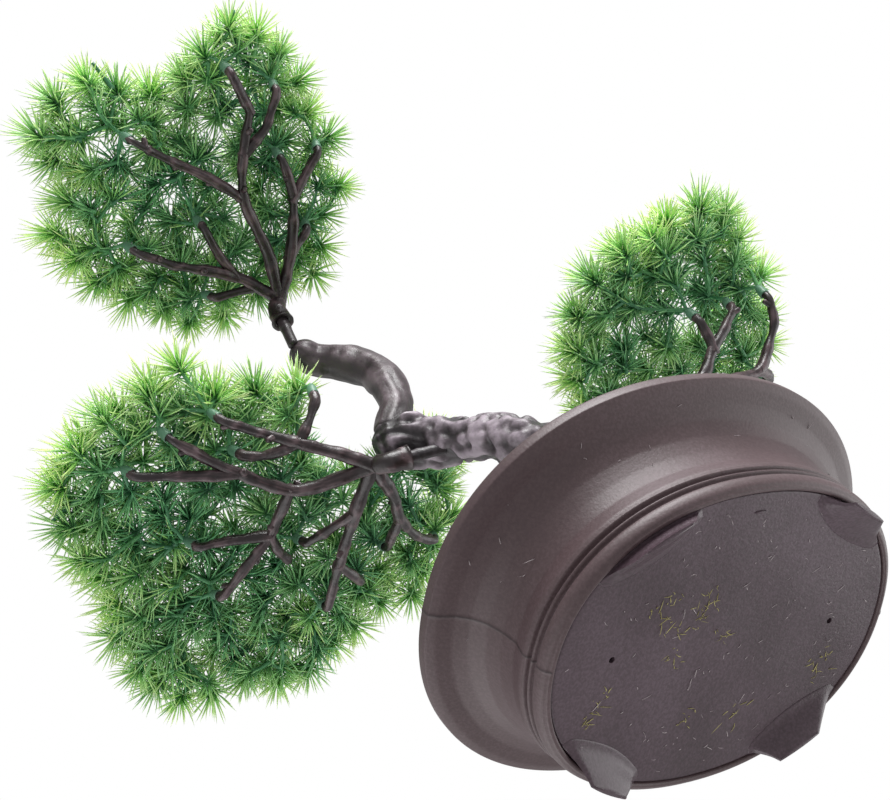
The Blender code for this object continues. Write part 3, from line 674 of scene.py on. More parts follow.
def inner_profile():
    """Inset and level up the inside: plate seat, ledge, thin wall, and out to the rim."""
    seat = SEAT_INSET
    ledge_base = PLATE_LEVEL + PLATE_THICKNESS + GAP
    ledge_top = ledge_base + LEDGE_THICKNESS
    wall = RIM_OVERHANG + POT_WALL
    rise = RIM_LEVEL - ledge_top
    return [(seat, RING_LEVEL), (seat, ledge_base), (seat + LEDGE_WIDTH, ledge_base),
            (seat + LEDGE_WIDTH, ledge_top), (wall, ledge_top), (wall, ledge_top + 0.62 * rise),
            (wall - 0.12 * RIM_OVERHANG, ledge_top + 0.76 * rise),
            (wall - 0.42 * RIM_OVERHANG, ledge_top + 0.87 * rise),
            (POT_WALL + 0.35 * RIM_OVERHANG, ledge_top + 0.91 * rise),
            (POT_WALL + 0.06 * RIM_OVERHANG, ledge_top + 0.93 * rise),
            (POT_WALL, RIM_LEVEL - 1 * MM), (POT_WALL, RIM_LEVEL)]


def pot_bowl():
    """The pot: its closed wall profile carried round the oval, with a fine raised parting line at
    each end of the long axis."""
    steps = np.radians((-0.9, -0.45, -0.22, 0, 0.22, 0.45, 0.9))
    turns = even_turns(240, np.concatenate([steps, steps + math.pi]))
    profile = eased(outer_profile() + inner_profile(), 0.5 * MM)
    grid = np.stack([oval(inset, level, turns) for inset, level in profile])
    off_axis = np.sin(turns) * 90
    bump = 0.22 * MM * np.exp(-(off_axis / 0.5) ** 2)
    outside = (profile[:, 0] < RING_INSET + 0.5 * MM)[:, None]
    below_rim = (profile[:, 1] < RIM_LEVEL - 2 * MM)[:, None]
    grid[..., 0] += np.where(outside, np.sign(np.cos(turns)) * bump, 0)
    grid[..., 2] -= np.where(outside & below_rim, 0.6 * bump, 0)
    seam = np.exp(-(off_axis / 0.45) ** 2) * outside * (np.cos(turns) > 0)
    bowl = facing_out(wrap_grid(grid, {"seam": seam}, closed=True))
    make_piece("pot_bowl", [bowl], PLASTIC, "stand", ["pot_shell"], sharp=50)


def foot_outline(outer_inset, inner_inset, drop, level, steps=28):
    """A crescent between two insets of the oval, broader in its middle. Its length goes from the
    foot's span at no drop to the sole's span at full drop."""
    start, end = (a + (b - a) * drop for a, b in zip(FOOT_SPAN, SOLE_SPAN))
    turns = np.radians(np.linspace(start, end, steps))
    power = 2 / OVAL_POWER
    breadth = 0.3 + 0.7 * np.sin(np.linspace(0, math.pi, steps)) ** 0.7

    def edge(inset):
        x = (POT_LENGTH / 2 - inset) * np.cos(turns) ** power
        y = (POT_WIDTH / 2 - inset) * np.sin(turns) ** power
        return np.stack([x, y, np.full(steps, level)], axis=1)

    outer, inner = edge(outer_inset), edge(outer_inset + (inner_inset - outer_inset) * breadth)
    ends = np.linspace(0, 1, 5)[1:-1, None]
    far = outer[-1] + (inner[-1] - outer[-1]) * ends
    near = inner[0] + (outer[0] - inner[0]) * ends
    return np.vstack([outer, far, inner[::-1], near])


def foot_surface(side_x, side_y):
    """A foot: crescents from inside the plate down to the sole ridge, with smooth sides between
    and a softened edge round the sole."""
    rim = PLATE_INSET
    below_ring = RING_LEVEL - GAP
    outer = rim - FOOT_FLARE
    key = np.stack([
        foot_outline(rim, rim + FOOT_DEPTH, 0, PLATE_LEVEL + 0.5 * PLATE_THICKNESS),
        foot_outline(rim, rim + FOOT_DEPTH, 0, PLATE_LEVEL),
        foot_outline(rim + 0.3 * MM, rim + 0.68 * FOOT_DEPTH, 0.3, below_ring),
        foot_outline(rim - 0.2 * FOOT_FLARE, rim + 0.3 * FOOT_DEPTH, 0.72, 0.42 * below_ring),
        foot_outline(outer, outer + FOOT_SOLE, 1, 0.25 * MM),
        foot_outline(outer + 0.35 * MM, outer + FOOT_SOLE - 0.35 * MM, 1.01, 0)])
    weights = np.linspace(0, 3, 22)
    lower = np.floor(np.minimum(weights, 2.999)).astype(int)
    share = (weights - lower)[:, None, None]
    padded = np.concatenate([2 * key[1:2] - key[2:3], key[1:5], 2 * key[4:5] - key[3:4]])
    side = curve_between(*(padded[lower + k] for k in range(4)), share)
    grid = np.concatenate([key[:1], side, key[5:]])
    return facing_out(wrap_grid(grid * (side_x, side_y, 1) + FLOOR_MIDDLE))


def carve(obj, cutter):
    """Cuts the closed cutter out of the object and removes it."""
    boolean = obj.modifiers.new("cut", "BOOLEAN")
    boolean.operation, boolean.object, boolean.solver = "DIFFERENCE", cutter, "EXACT"
    graph = bpy.context.evaluated_depsgraph_get()
    cut = bpy.data.meshes.new_from_object(obj.evaluated_get(graph))
    obj.modifiers.clear()
    obj.data = cut
    bpy.data.objects.remove(cutter, do_unlink=True)


def at_level(plan, level):
    """Plan points as points in space, at one level or at a level each."""
    return np.append(plan, np.broadcast_to(level, len(plan))[:, None], axis=1)


def pot_base():
    """The base plate: ovals from its middle out over a shallow dish, round its edge and back, with
    two vent holes, four feet and a small raised dash."""
    top = PLATE_LEVEL + PLATE_THICKNESS
    shares = np.concatenate([np.linspace(0.02, 0.94, 24), (0.965, 0.98, 0.99)])
    flat = oval(PLATE_INSET, 0, even_turns(220)) - FLOOR_MIDDLE
    ripple = 0.06 * MM * waves(shares[:, None, None] * flat, 26 * MM, 5)
    under = PLATE_LEVEL + PLATE_DISH * (1 - shares[:, None] ** 2) + ripple
    edge = [(0.996, PLATE_LEVEL + 0.12 * MM), (1, PLATE_LEVEL + 0.4 * MM), (1, top), (0.97, top),
            (0.5, top), (0.02, top)]
    rows = [at_level(share * flat[:, :2], level) for share, level in [*zip(shares, under), *edge]]
    plate = facing_out(wrap_grid(np.stack(rows) + FLOOR_MIDDLE))
    obj = make_piece("pot_base", [plate], PLATE_PLASTIC, "stand", ["base_plate"])
    for side in (1, -1):
        line = np.array([(side * VENT_REACH, 0, level) for level in (PLATE_LEVEL - MM, top + MM)])
        grid, _ = tube_grid(line + FLOOR_MIDDLE, VENT_RADIUS, 24)
        carve(obj, new_object("vent", make_mesh("vent", [facing_out(wrap_grid(grid))])))
    obj.data.set_sharp_from_angle(angle=math.radians(40))
    feet = [foot_surface(x, y) for x in (1, -1) for y in (1, -1)]
    dash, at = even_route(placed([(-2.5, 46, 0.85), (0, 46.2, 0.75), (2.5, 46, 0.85)]), 0.25 * MM)
    grid, _ = tube_grid(dash, rounded(at, np.full(len(at), 0.45 * MM)), 12)
    make_piece("pot_feet", feet + [wrap_grid(grid)], PLATE_PLASTIC, "stand", [],
               sharp=80)


# ---------------------------------------------------------------- blades: needles, moss, fibres


def blades(roots, ways, lengths, bends, widths, values):
    """Thin three-sided blades, each narrowing to a point. A blade's centre line is
    root + way * length * t + bend * t^2, and its width falls as t rises."""
    steps = np.array((0, 0.4, 0.78))
    shares = np.array((0.75, 1.0, 0.72))
    count = len(roots)
    side = unit(np.cross(ways, np.roll(ways, 1, axis=1) * (1, -1, 1) + (0.3, 0.1, 0.7)))
    ring = ring_ways(np.arange(3) * FULL_TURN / 3, side, np.cross(ways, side))
    line = (roots[:, None] + ways[:, None] * lengths[:, None, None] * steps[:, None]
            + bends[:, None] * (steps ** 2)[:, None])
    rows = line[:, :, None] + ring[:, None] * (widths[:, None] * shares)[:, :, None, None]
    tips = roots + ways * lengths[:, None] + bends
    points = np.concatenate([rows.reshape(count, 9, 3), tips[:, None]], axis=1)
    i, j = np.arange(3), (np.arange(3) + 1) % 3
    lowest = np.stack([i, j, j + 3, i + 3], axis=1)
    quads = np.concatenate([lowest, lowest + 3])
    ends = np.concatenate([np.stack([i + 6, j + 6, np.full(3, 9)], axis=1), [[2, 1, 0]]])
    start = (np.arange(count) * 10)[:, None, None]
    tip = np.broadcast_to(np.append(np.repeat(steps, 3), 1.0), (count, 10)).reshape(-1)
    numbers = {name: np.repeat(value, 10) for name, value in values.items()}
    faces = [(quads + start).reshape(-1, 4), (ends + start).reshape(-1, 3)]
    return points.reshape(-1, 3), faces, {"tip": tip, **numbers}


def moss_turf():
    """The moss: a domed mat with a lumpy top, and short curling strands that stand up from it."""
    low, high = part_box("moss_mat")
    flat = (oval(MOSS_INSET, 0, even_turns(120)) - FLOOR_MIDDLE)[:, :2]
    halves = (POT_LENGTH / 2 - MOSS_INSET, POT_WIDTH / 2 - MOSS_INSET)

    def top_of(plan):
        share = np.clip(np.linalg.norm(plan / halves, axis=-1), 0, 1)
        lumps = 0.5 * waves(at_level(plan, 0), 9 * MM, 11)
        return high[2] - 0.8 * MM - 4 * MM * share ** 2 + 0.9 * MM * lumps * (1 - 0.6 * share)

    rows = [at_level(share * flat, low[2]) for share in (0.02, 1)]
    rows += [at_level(share * flat, top_of(share * flat)) for share in np.linspace(1, 0.02, 34)]
    mat = facing_out(wrap_grid(np.stack(rows) + FLOOR_MIDDLE, {"tip": 0.15}))
    rng = np.random.default_rng(21)
    count = 5200
    turn, reach = rng.uniform(0, FULL_TURN, count), np.sqrt(rng.uniform(0, 0.94, count))
    plan = (oval(MOSS_INSET, 0, turn) - FLOOR_MIDDLE)[:, :2] * reach[:, None]
    roots = at_level(plan, top_of(plan) - 0.4 * MM) + FLOOR_MIDDLE
    ways = unit(rng.normal(size=(count, 3)) * (1, 1, 0.35) + (0, 0, 0.75))
    lengths = rng.uniform(1.6, 3.6, count) * MM
    bends = rng.normal(size=(count, 3)) * (0.9, 0.9, 0.3) * MM
    strands = blades(roots, ways, lengths, bends, rng.uniform(0.12, 0.22, count) * MM, {})
    make_piece("moss_turf", [mat, strands], MOSS, "stand", ["moss_mat"])


def stray_fibres():
    """Loose fibres left on the base: pale short hairs scattered over the plate and the hollow shelf,
    and small tangled tufts of moss, thicker in some places."""
    rng = np.random.default_rng(8)
    tufts = np.array([(33, 13), (28, 17), (24, 8), (12, 14), (9, 17), (14, 10), (46, -14), (50, -20),
                      (-47, -15), (-46, -20), (2, 1), (20, -3), (-12, -30), (8, -28)]) * MM
    tuft_spots = np.repeat(tufts, 9, axis=0) + rng.normal(size=(len(tufts) * 9, 2)) * 2.1 * MM
    turn, reach = rng.uniform(0, FULL_TURN, 130), np.sqrt(rng.uniform(0, 0.9, 130))
    loose = (oval(RING_INSET + 2 * MM, 0, turn)[:, :2] - POT_MIDDLE[:2]) * reach[:, None]
    spots = np.concatenate([tuft_spots, loose])
    share = np.linalg.norm(spots / (68 * MM, 54 * MM), axis=1)
    level = PLATE_LEVEL + PLATE_DISH * (1 - np.clip(share, 0, 1) ** 2) + 0.02 * MM
    roots = at_level(spots + POT_MIDDLE[:2], level)
    shelf = outer_profile()[5:9]
    turn, along = rng.uniform(0, FULL_TURN, 60), rng.integers(0, 4, 60)
    raised = np.concatenate([oval(shelf[k][0], shelf[k][1] - 0.02 * MM, np.array([t]))
                             for t, k in zip(turn, along)])
    roots = np.concatenate([roots, raised])
    count, tangled = len(roots), np.arange(len(roots)) < len(tuft_spots)
    ways = unit(rng.normal(size=(count, 3)) * (1, 1, 0.1) - (0, 0, 0.1))
    lengths = np.where(tangled, rng.uniform(1.2, 3.4, count), rng.uniform(0.7, 2.6, count)) * MM
    bends = rng.normal(size=(count, 3)) * (0.5, 0.5, 0.05) * lengths[:, None]
    widths = np.where(tangled, 0.17, 0.15) * MM
    hairs = blades(roots, ways, lengths, bends, widths, {"fresh": np.where(tangled, 0.0, 1.0)})
    make_piece("stray_fibres", [hairs], FIBRE, "stand", [])


# ---------------------------------------------------------------- trunk and branch frames


def bark_relief(depth, sizes, furrows, twist, seed, lean=0.0, fine=0.0, rough=0.3):
    """Bark: long furrows that wander round the tube, sharp crests where a wave of the first size
    crosses zero, lumps of the second size, and a share of fine streaks. The second result is how
    far each point is a ridge, from 0 to 1; the bark's colour reads it as painted shade in the hollows
    and painted highlight on the crests."""

    def relief(grid, turns):
        along = np.linspace(0, FULL_TURN, len(grid))[:, None]
        wander = 0.9 * waves(grid, sizes[0] * 1.6, seed)
        lines = np.sin(furrows * turns + twist * along + 1.6 * wander)
        crests = 1 - 1.5 * np.abs(waves(grid, sizes[0] * 1.3, seed + 1))
        lumps = waves(grid, sizes[1], seed + 2)
        streaks = np.sin(3.4 * furrows * turns + 2.1 * twist * along + 1.9 * wander)
        field = np.tanh(0.35 * lines + 0.75 * crests + rough * lumps + fine * streaks)
        return depth * field, np.clip(0.5 + 0.5 * field + lean, 0, 1)

    return relief


def knots(depth_relief, spots):
    """Adds round knots to a relief: a raised collar with a hollow eye at each (share, turn, size
    in mm, rise in mm)."""

    def relief(grid, turns):
        height, ridge = depth_relief(grid, turns)
        for share, turn, size, rise in spots:
            row = int(round(share * (len(grid) - 1)))
            column = int(round(turn / FULL_TURN * len(turns))) % len(turns)
            gap = np.linalg.norm(grid - grid[row, column], axis=-1) / (size * MM)
            collar = np.exp(-(gap / 0.9) ** 2) - 0.9 * np.exp(-(gap / 0.38) ** 2)
            height = height + rise * MM * collar
            # Each knot's raised collar is made paler: a painted highlight on it.
            ridge = ridge + 0.5 * collar
        return height, np.clip(ridge, 0, 1)

    return relief


def peg_line(branch):
    """Root and unit direction of a branch's peg, and the point where its socket begins."""
    root, direction, reach = BRANCHES[branch]["peg"]
    root = placed(root)
    direction = unit(direction)
    return root, direction, root + direction * reach * MM


def peg_surface(branch):
    """The round peg that a branch turns on, with a low ring where it leaves the trunk."""
    root, direction, socket = peg_line(branch)
    end = socket + direction * (SOCKET_DEPTH - GAP)
    route, at = even_route([root, (root + end) / 2, end], ROUTE_STEP)
    radii = rounded(at, np.full(len(at), PEG_RADIUS), start=0, end=0.3)
    radii = radii + 0.25 * MM * np.exp(-((at - 0.5 * at[-1]) / (1.2 * MM)) ** 2)
    grid, _ = tube_grid(route, np.minimum(radii, PEG_RADIUS + 0.25 * MM), 24)
    return wrap_grid(grid, {"ridge": 0.22})


def lower_trunk():
    """Root flare, gnarled stem and knuckle, the side bough, the spigot and two pegs."""
    _, moss_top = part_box("moss_mat")
    root = np.array((*placed((0, 11, 0))[:2], moss_top[2] + GAP))
    route, at = even_route([root, *placed([*TRUNK_ROUTE, (55, 6, 150)])], ROUTE_STEP)
    share = at / at[-1]
    flare = (ROOT_RADIUS - TRUNK_RADIUS) * np.exp(-share / 0.07)
    knuckle = 1.2 * MM * np.exp(-((share - 0.9) / 0.06) ** 2)
    waist = 1.2 * MM * np.exp(-((share - 0.68) / 0.12) ** 2)
    radii = rounded(at, TRUNK_RADIUS + flare + knuckle - waist, start=0, end=1.1)
    relief = knots(bark_relief(1.6 * MM, (15 * MM, 6 * MM), 3, 0.7, 31, -0.1, 0.3, 0.4),
                   [(0.45, 0.6, 6, 1.2), (0.62, 3.4, 5, 1.1), (0.8, 1.8, 6, 1.3),
                    (0.88, 4.6, 5, 1.2), (0.3, 5.2, 6, 1.1)])
    trunk = bark_tube(route, radii, 110, relief)
    route, at = even_route(placed(BOUGH_ROUTE), ROUTE_STEP)
    radii = rounded(at, np.linspace(0.75, 0.55, len(at)) * TRUNK_RADIUS, start=0, end=0.8)
    bough = bark_tube(route, radii, 64, bark_relief(0.8 * MM, (9 * MM, 4 * MM), 4, 0.6, 47))
    low = np.array((root[0], root[1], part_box("trunk_lower")[0][2]))
    line, at = even_route([low, (low + root) / 2, root + (0, 0, 3 * MM)], 1 * MM)
    grid, _ = tube_grid(line, rounded(at, np.full(len(at), SPIGOT_RADIUS), 0.2, 0), 32)
    spigot = wrap_grid(grid, {"ridge": 0.3})
    make_piece("lower_trunk", [trunk, bough, spigot, peg_surface("left"), peg_surface("right")],
               LOWER_BARK, "stand", ["trunk_lower"])


def upper_trunk():
    """The smoother upper stem: long streaks, a few rings, a bulb at its end, and the top peg."""
    route, at = even_route(placed([(49, 9, 147), *UPPER_ROUTE]), ROUTE_STEP)
    share = at / at[-1]
    radii = UPPER_RADIUS * (0.86 + 0.14 * np.sin(2.4 * share)) * (1 + 0.04 * np.sin(share * 21))
    radii *= 1 - 0.2 * np.clip((share - 0.72) / 0.28, 0, 1)
    radii = rounded(at, radii, start=0.5, end=0.9)
    relief = knots(bark_relief(0.6 * MM, (26 * MM, 10 * MM), 3, 0.3, 63, -0.12, 0.25, 0.25),
                   [(0.1, 0.4, 5, 0.9), (0.5, 2.2, 5, 0.9), (0.72, 4.4, 5, 0.9)])
    make_piece("upper_trunk", [bark_tube(route, radii, 96, relief), peg_surface("top")],
               UPPER_BARK, "stand", ["trunk_upper"])


def limb_points(points):
    """A limb's points, rooted inside its parent, its end turned up to hold the sprig."""
    route = smooth_route(placed(points), 2)
    route[0] -= unit(route[1] - route[0]) * LIMB_ROOT
    tip = route[-1] + 0.5 * TIP_RISE * unit(route[-1] - route[-2]) + (0, 0, TIP_RISE)
    return np.vstack([route, tip])


def limb_surface(limb, main, seed):
    """A twig: a tapering tube with lengthwise ridges, swellings along it and a round end."""
    route, at = even_route(limb_points(limb), LIMB_STEP)
    start = (0.82 if main else 0.64) * STEM_RADIUS
    swelling = 0.07 * np.sin(at / (4.1 * MM) + seed) + 0.05 * np.sin(at / (1.9 * MM) + 2 * seed)
    radii = np.linspace(start, TWIG_RADIUS, len(at)) * (1 + swelling)
    relief = bark_relief(0.26 * MM, (11 * MM, 3 * MM), 3, 0.8, 80 + seed, -0.05, 0.5, 0.14)
    return bark_tube(route, rounded(at, radii, start=0, end=0.8), 22, relief)


def side_nubs(limb, rng):
    """Cut twig stubs on a limb: short round-ended tubes that lean forward from it."""
    route, _ = even_route(limb_points(limb), LIMB_STEP)
    surfaces = []
    for share in np.arange(0.3, 0.86, 0.27) + rng.uniform(-0.06, 0.06):
        k = int(share * (len(route) - 1))
        ahead = unit(route[min(k + 3, len(route) - 1)] - route[k])
        out = unit(np.cross(ahead, rng.normal(size=3)))
        end = route[k] + (0.75 * out + 0.55 * ahead) * rng.uniform(3.2, 5.5) * MM
        path, along = even_route([route[k], (route[k] + end) / 2 + 0.2 * MM * out, end], ROUTE_STEP)
        radii = rounded(along, np.linspace(1.5, 1.0, len(along)) * MM, start=0, end=0.9)
        surfaces.append(bark_tube(path, radii, 14, bark_relief(0.12 * MM, (4 * MM, 1.6 * MM), 2, 1, 7)))
    return surfaces


def socket_surface(branch):
    """The stem with its socket: a flared lip round the peg, the wall, and the floor of the bore,
    carried on as the stem up to the fork."""
    _, direction, socket = peg_line(branch)
    fork = placed(BRANCHES[branch]["limbs"][0])[0]
    bore = PEG_RADIUS + 0.5 * GAP
    collar = PEG_RADIUS + GAP + SOCKET_WALL
    path, at = even_route([socket, socket + direction * (SOCKET_DEPTH + 1.5 * MM), fork],
                          ROUTE_STEP)
    radii = np.interp(at, [0, SOCKET_DEPTH, at[-1]], [collar, 0.94 * collar, STEM_RADIUS])
    radii = radii + 0.7 * MM * np.exp(-(at / (1.3 * MM)) ** 2)
    radii = rounded(at, radii, start=0, end=0.7)
    outer, ridge = tube_grid(path, radii, 36, bark_relief(0.22 * MM, (8 * MM, 2.6 * MM), 4, 0.8, 71))
    inside = outer[1:int(SOCKET_DEPTH / ROUTE_STEP)]
    centre = inside.mean(axis=1, keepdims=True)
    inner = centre + unit(inside - centre) * bore
    grid = np.concatenate([inner[::-1], outer])
    # The bore is set near the darkest bark tone: painted shade inside the socket.
    values = np.concatenate([np.full(inner.shape[:2], 0.1), ridge])
    return facing_out(wrap_grid(grid, {"ridge": values}))


def branch_limbs(branch, seed):
    """A branch frame: socket, stem, limbs and twig stubs."""
    limbs = BRANCHES[branch]["limbs"]
    rng = np.random.default_rng(seed)
    surfaces = [socket_surface(branch)]
    for number, limb in enumerate(limbs[1:]):
        surfaces.append(limb_surface(limb, limb[0] == limbs[1][0], number))
        if len(limb) > 3:
            surfaces += side_nubs(limb, rng)
    make_piece(f"{branch}_limbs", surfaces, TWIG_BARK, f"{branch}_branch",
               [f"{branch}_frame"])


# ---------------------------------------------------------------- needle sprigs


def edge_depth(spots, outline):
    """How far plan points lie inside a closed outline, negative outside it."""
    ends = np.roll(outline, -1, axis=0)
    along = ends - outline
    offset = spots[:, None] - outline
    share = np.clip((offset * along).sum(axis=2) / (along ** 2).sum(axis=1), 0, 1)
    distance = np.linalg.norm(offset - share[..., None] * along, axis=2).min(axis=1)
    spans = (outline[:, 1] > spots[:, None, 1]) != (ends[:, 1] > spots[:, None, 1])
    rise = np.where(along[:, 1] == 0, 1, along[:, 1])
    left = offset[..., 0] < offset[..., 1] * along[:, 0] / rise
    return np.where((spans & left).sum(axis=1) % 2 == 1, distance, -distance)


def pad_outline(branch):
    """The pad's edge in plan, in metres."""
    return placed(at_level(np.array(BRANCHES[branch]["outline"]), 0))[:, :2]


def pad_layer(branch, pitch, margin, lift, seed):
    """Whorl centres packed over a pad from its edge inwards, a pitch apart and clear of the trunk,
    domed and unevenly high. Each comes with its depth inside the pad's edge."""
    rng = np.random.default_rng(seed)
    outline = pad_outline(branch)
    level, rise = BRANCHES[branch]["pad"]
    low, high = outline.min(axis=0), outline.max(axis=0)
    centre, reach = (low + high) / 2, (high - low).max() / 2
    lines = (np.arange(start, end, 2 * MM) for start, end in zip(low, high))
    spots = np.stack(np.meshgrid(*lines), axis=-1).reshape(-1, 2)
    spots = spots + rng.uniform(-0.8, 0.8, spots.shape) * MM
    depth = edge_depth(spots, outline) - margin
    turn = np.arctan2(spots[:, 1] - centre[1], spots[:, 0] - centre[0])
    order = [i for i in np.lexsort((turn, np.floor(depth / (3 * MM)))) if depth[i] >= 0]
    trunk = placed(TRUNK_ROUTE + UPPER_ROUTE)
    trunk = trunk[np.abs(trunk[:, 2] - RING_LEVEL - level * MM) < TRUNK_BERTH, :2]
    chosen = []
    for i in order:
        clear = all(np.linalg.norm(spots[i] - point) >= TRUNK_BERTH for point in trunk)
        room = pitch * rng.uniform(0.78, 1.2)
        if clear and all(np.linalg.norm(spots[i] - spots[j]) >= room for j in chosen):
            chosen.append(i)
    plan, depth = spots[chosen], depth[chosen]
    far = np.linalg.norm(plan - centre, axis=1) / reach
    uneven = rng.uniform(-3, 2, len(plan))
    height = RING_LEVEL + (level + lift + rise * (1 - far ** 2) + uneven) * MM
    return at_level(plan, height), depth, centre


def sprig_hubs(branch):
    """Where each sprig sits on its limb, and which way the limb's end points."""
    hubs, ends = [], []
    for limb in BRANCHES[branch]["sprigs"].values():
        points = limb_points(BRANCHES[branch]["limbs"][limb])
        end = unit(points[-1] - points[-2])
        ends.append(end)
        hubs.append(points[-1] + end * (GAP + HUB_RADIUS))
    return np.array(hubs), np.array(ends)


def nearest_hubs(places, hubs):
    """Which hub carries each whorl: the nearest. A hub with none takes the nearest one of a
    neighbour that has several."""
    gaps = np.linalg.norm(places[:, None, :2] - hubs[None, :, :2], axis=2)
    owner = gaps.argmin(axis=1)
    for hub in range(len(hubs)):
        if hub not in owner:
            counts = np.bincount(owner, minlength=len(hubs))
            free = [i for i in range(len(places)) if counts[owner[i]] > 1]
            owner[min(free, key=lambda i: gaps[i, hub])] = hub
    return owner


def whorl(centre, axis, reach, count, fresh, rng):
    """A whorl: needles set by the golden turn round an axis, from near the axis to just past
    square to it, each bent a little towards the axis."""
    side = unit(np.cross(axis, (0.37, 0.81, 0.45)))
    other = np.cross(axis, side)
    number = np.arange(count)
    turn = number * GOLDEN_TURN + rng.uniform(-0.25, 0.25, count)
    share = (number + 0.5) / count
    lean = np.radians(16 + 86 * share ** 0.7 + rng.uniform(-8, 8, count))
    ways = (np.cos(lean)[:, None] * axis + (np.sin(lean) * np.cos(turn))[:, None] * side
            + (np.sin(lean) * np.sin(turn))[:, None] * other)
    lengths = reach * rng.uniform(0.78, 1.06, count)
    roots = centre - axis * (share * 3.5 * MM)[:, None] + ways * 0.4 * MM
    inward = axis * (lengths * rng.uniform(0.02, 0.2, count))[:, None]
    bends = inward + rng.normal(size=(count, 3)) * 0.5 * MM
    return roots, ways, lengths, bends, fresh * rng.uniform(0.8, 1.15, count)


def stalk_surface(points, start, end, fresh):
    """A thin stalk: a tapering six-sided tube along a smooth curve."""
    route, at = even_route(points, 2.2 * MM)
    grid, _ = tube_grid(route, np.linspace(start, end, len(at)), 6)
    return wrap_grid(grid, {"tip": 0.1, "fresh": fresh})


def collar_surface(hub, end):
    """The hollow collar of a sprig: an open sleeve pushed over the twig's end, closing above it."""
    line = [hub + end * share * MM for share in (-4.6, -1.5, 1.6)]
    route, at = even_route(line, 0.4 * MM)
    radii = np.interp(at / at[-1], [0, 0.08, 0.6, 1], [2.05, 2.15, 1.9, 0.9]) * MM
    outer, _ = tube_grid(route, rounded(at, radii, start=0, end=0.6), 20)
    inside = outer[:6]
    centre = inside.mean(axis=1, keepdims=True)
    inner = centre + (inside - centre) * 0.8
    return facing_out(wrap_grid(np.concatenate([inner[::-1], outer]), {"collar": 1.0}))


def stalk_needles(points, rng, fresh):
    """Single needles along a stalk: from even steps of its length, leaning forward at about 50
    degrees to it, each a golden turn further round."""
    route = even_route(points, STALK_NEEDLE_STEP)[0][2:]
    u, v = carried_frames(route)
    ahead = np.cross(u, v)
    count = len(route)
    turn = np.arange(count) * GOLDEN_TURN + rng.uniform(0, 6)
    out = np.cos(turn)[:, None] * u + np.sin(turn)[:, None] * v
    ways = unit(0.75 * out + 0.62 * ahead + rng.normal(size=(count, 3)) * 0.12)
    lengths = rng.uniform(6.5, 10.5, count) * MM
    bends = ahead * (lengths * rng.uniform(0, 0.2, count))[:, None]
    return route, ways, lengths, bends, np.full(count, fresh)


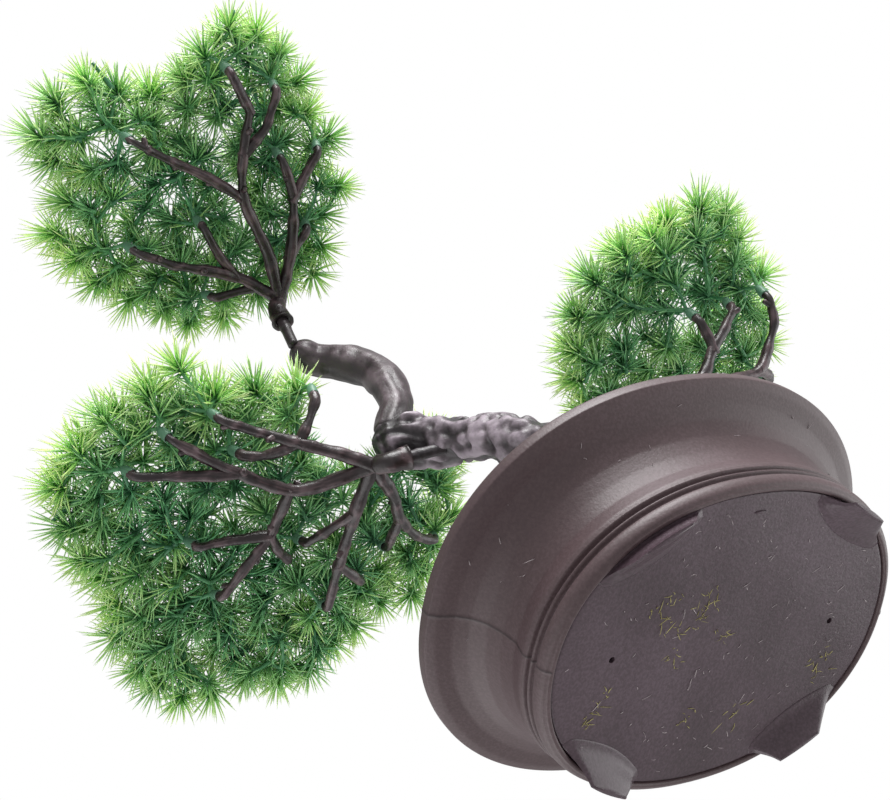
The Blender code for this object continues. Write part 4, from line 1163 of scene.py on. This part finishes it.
def branch_sprigs(branch, seed):
    """All the sprigs of a branch: a collar on each limb end, stalks that fork out to the whorls of
    three layers, and their needles, painted brighter towards the pad's edge and on the top layer as
    painted light."""
    layers = [pad_layer(branch, pitch, margin * MM, lift, seed + n)
              for n, (pitch, margin, lift, _, _) in enumerate(LAYERS)]
    centre = layers[0][2]
    places = np.vstack([layer[0] for layer in layers])
    depths = np.concatenate([layer[1] + setting[1] * MM for layer, setting in zip(layers, LAYERS)])
    order = np.repeat(np.arange(len(layers)), [len(layer[0]) for layer in layers])
    hubs, ends = sprig_hubs(branch)
    owner = nearest_hubs(places, hubs)
    rng = np.random.default_rng(seed + 5)
    half = np.ptp(pad_outline(branch), axis=0) / 2
    for number, name in enumerate(BRANCHES[branch]["sprigs"]):
        hub, end = hubs[number], ends[number]
        mine = np.flatnonzero(owner == number)
        mine = mine[np.argsort(np.linalg.norm(places[mine] - hub, axis=1))]
        surfaces = [collar_surface(hub, end)]
        joints, needles = [hub + end * MM], []
        for i in mine:
            place = places[i]
            count, yellow = LAYERS[order[i]][3:]
            nodes = np.array(joints)
            cost = np.linalg.norm(nodes - place, axis=1) + 0.35 * np.linalg.norm(nodes - hub, axis=1)
            source = nodes[cost.argmin()]
            outward = np.append((place[:2] - centre) / half, 0)
            near_edge = math.exp(-max(depths[i] - 5 * MM, 0) / (14 * MM))
            axis = (0, 0, 0.75) + 0.45 * unit(place - source) + (0.25 + 0.75 * near_edge) * outward
            axis = unit(axis + rng.normal(size=3) * 0.16)
            sag = (0, 0, 0.1 * np.linalg.norm(place - source))
            middle = (source + place) / 2 - sag
            # Painted light for this whorl: the layer's share, more near the pad's edge, and a random
            # part.
            fresh = float(np.clip(yellow + 0.75 * near_edge + rng.normal() * 0.22, 0.03, 1))
            stalk = [source, middle, place - axis * 2 * MM, place + axis * 0.8 * MM]
            surfaces.append(stalk_surface(stalk, 0.85 * MM, 0.6 * MM, 0.3 * fresh))
            joints.append(place - axis * 5 * MM)
            reach = WHORL_REACH * rng.uniform(0.84, 1.08)
            needles.append(whorl(place, axis, reach, count, fresh, rng))
            needles.append(stalk_needles(stalk, rng, 0.35 * fresh))
        roots, ways, lengths, bends, fresh = (np.concatenate(column) for column in zip(*needles))
        widths = np.full(len(roots), NEEDLE_RADIUS)
        surfaces.append(blades(roots, ways, lengths, bends, widths, {"fresh": np.clip(fresh, 0, 1)}))
        for tail, head in BRANCHES[branch]["spikes"] if number == 0 else []:
            line = placed([tail, np.add(tail, head) / 2 + (0, 0, 0.6), head])
            surfaces.append(stalk_surface(line, 1.0 * MM, 0.75 * MM, 0.0))
        make_piece(f"{branch}_needles_{name}", surfaces, NEEDLES, f"{branch}_branch",
                   [f"{branch}_sprig_{name}"])


# ---------------------------------------------------------------- the whole tree

PLASTIC = plum_plastic("plum_plastic", (68, 53, 56), (76, 61, 63), (88, 72, 76), 0.46)
PLATE_PLASTIC = plum_plastic("plum_plate", (55, 44, 48), (70, 56, 63), (86, 71, 80), 0.34)
LOWER_BARK = bark_resin("gnarled_bark", (36, 30, 34), (82, 73, 79), (148, 136, 146), 0.48, 0.2)
UPPER_BARK = bark_resin("streaked_bark", (42, 35, 38), (66, 56, 60), (110, 98, 104), 0.44, 0.1)
TWIG_BARK = bark_resin("twig_bark", (32, 23, 25), (54, 40, 43), (96, 78, 82), 0.36, 0.1)
NEEDLES = needle_plastic()
MOSS = moss_fluff()
FIBRE = straw_fibre()
FILLINGS = {
    "cement_plug": rough_filling("cement_mortar", (150, 148, 142), (186, 184, 178), 3 * MM, 0.4 * MM),
    "foam_block": rough_filling("green_foam", (74, 96, 62), (110, 132, 92), 1.2 * MM, 0.6 * MM),
}

pot_bowl()
pot_base()
moss_turf()
stray_fibres()
lower_trunk()
upper_trunk()
for number, branch in enumerate(BRANCHES):
    branch_limbs(branch, 3 + number)
    branch_sprigs(branch, 100 + 10 * number)
for node, filling in FILLINGS.items():
    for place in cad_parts[node].material_slots:
        place.material = filling
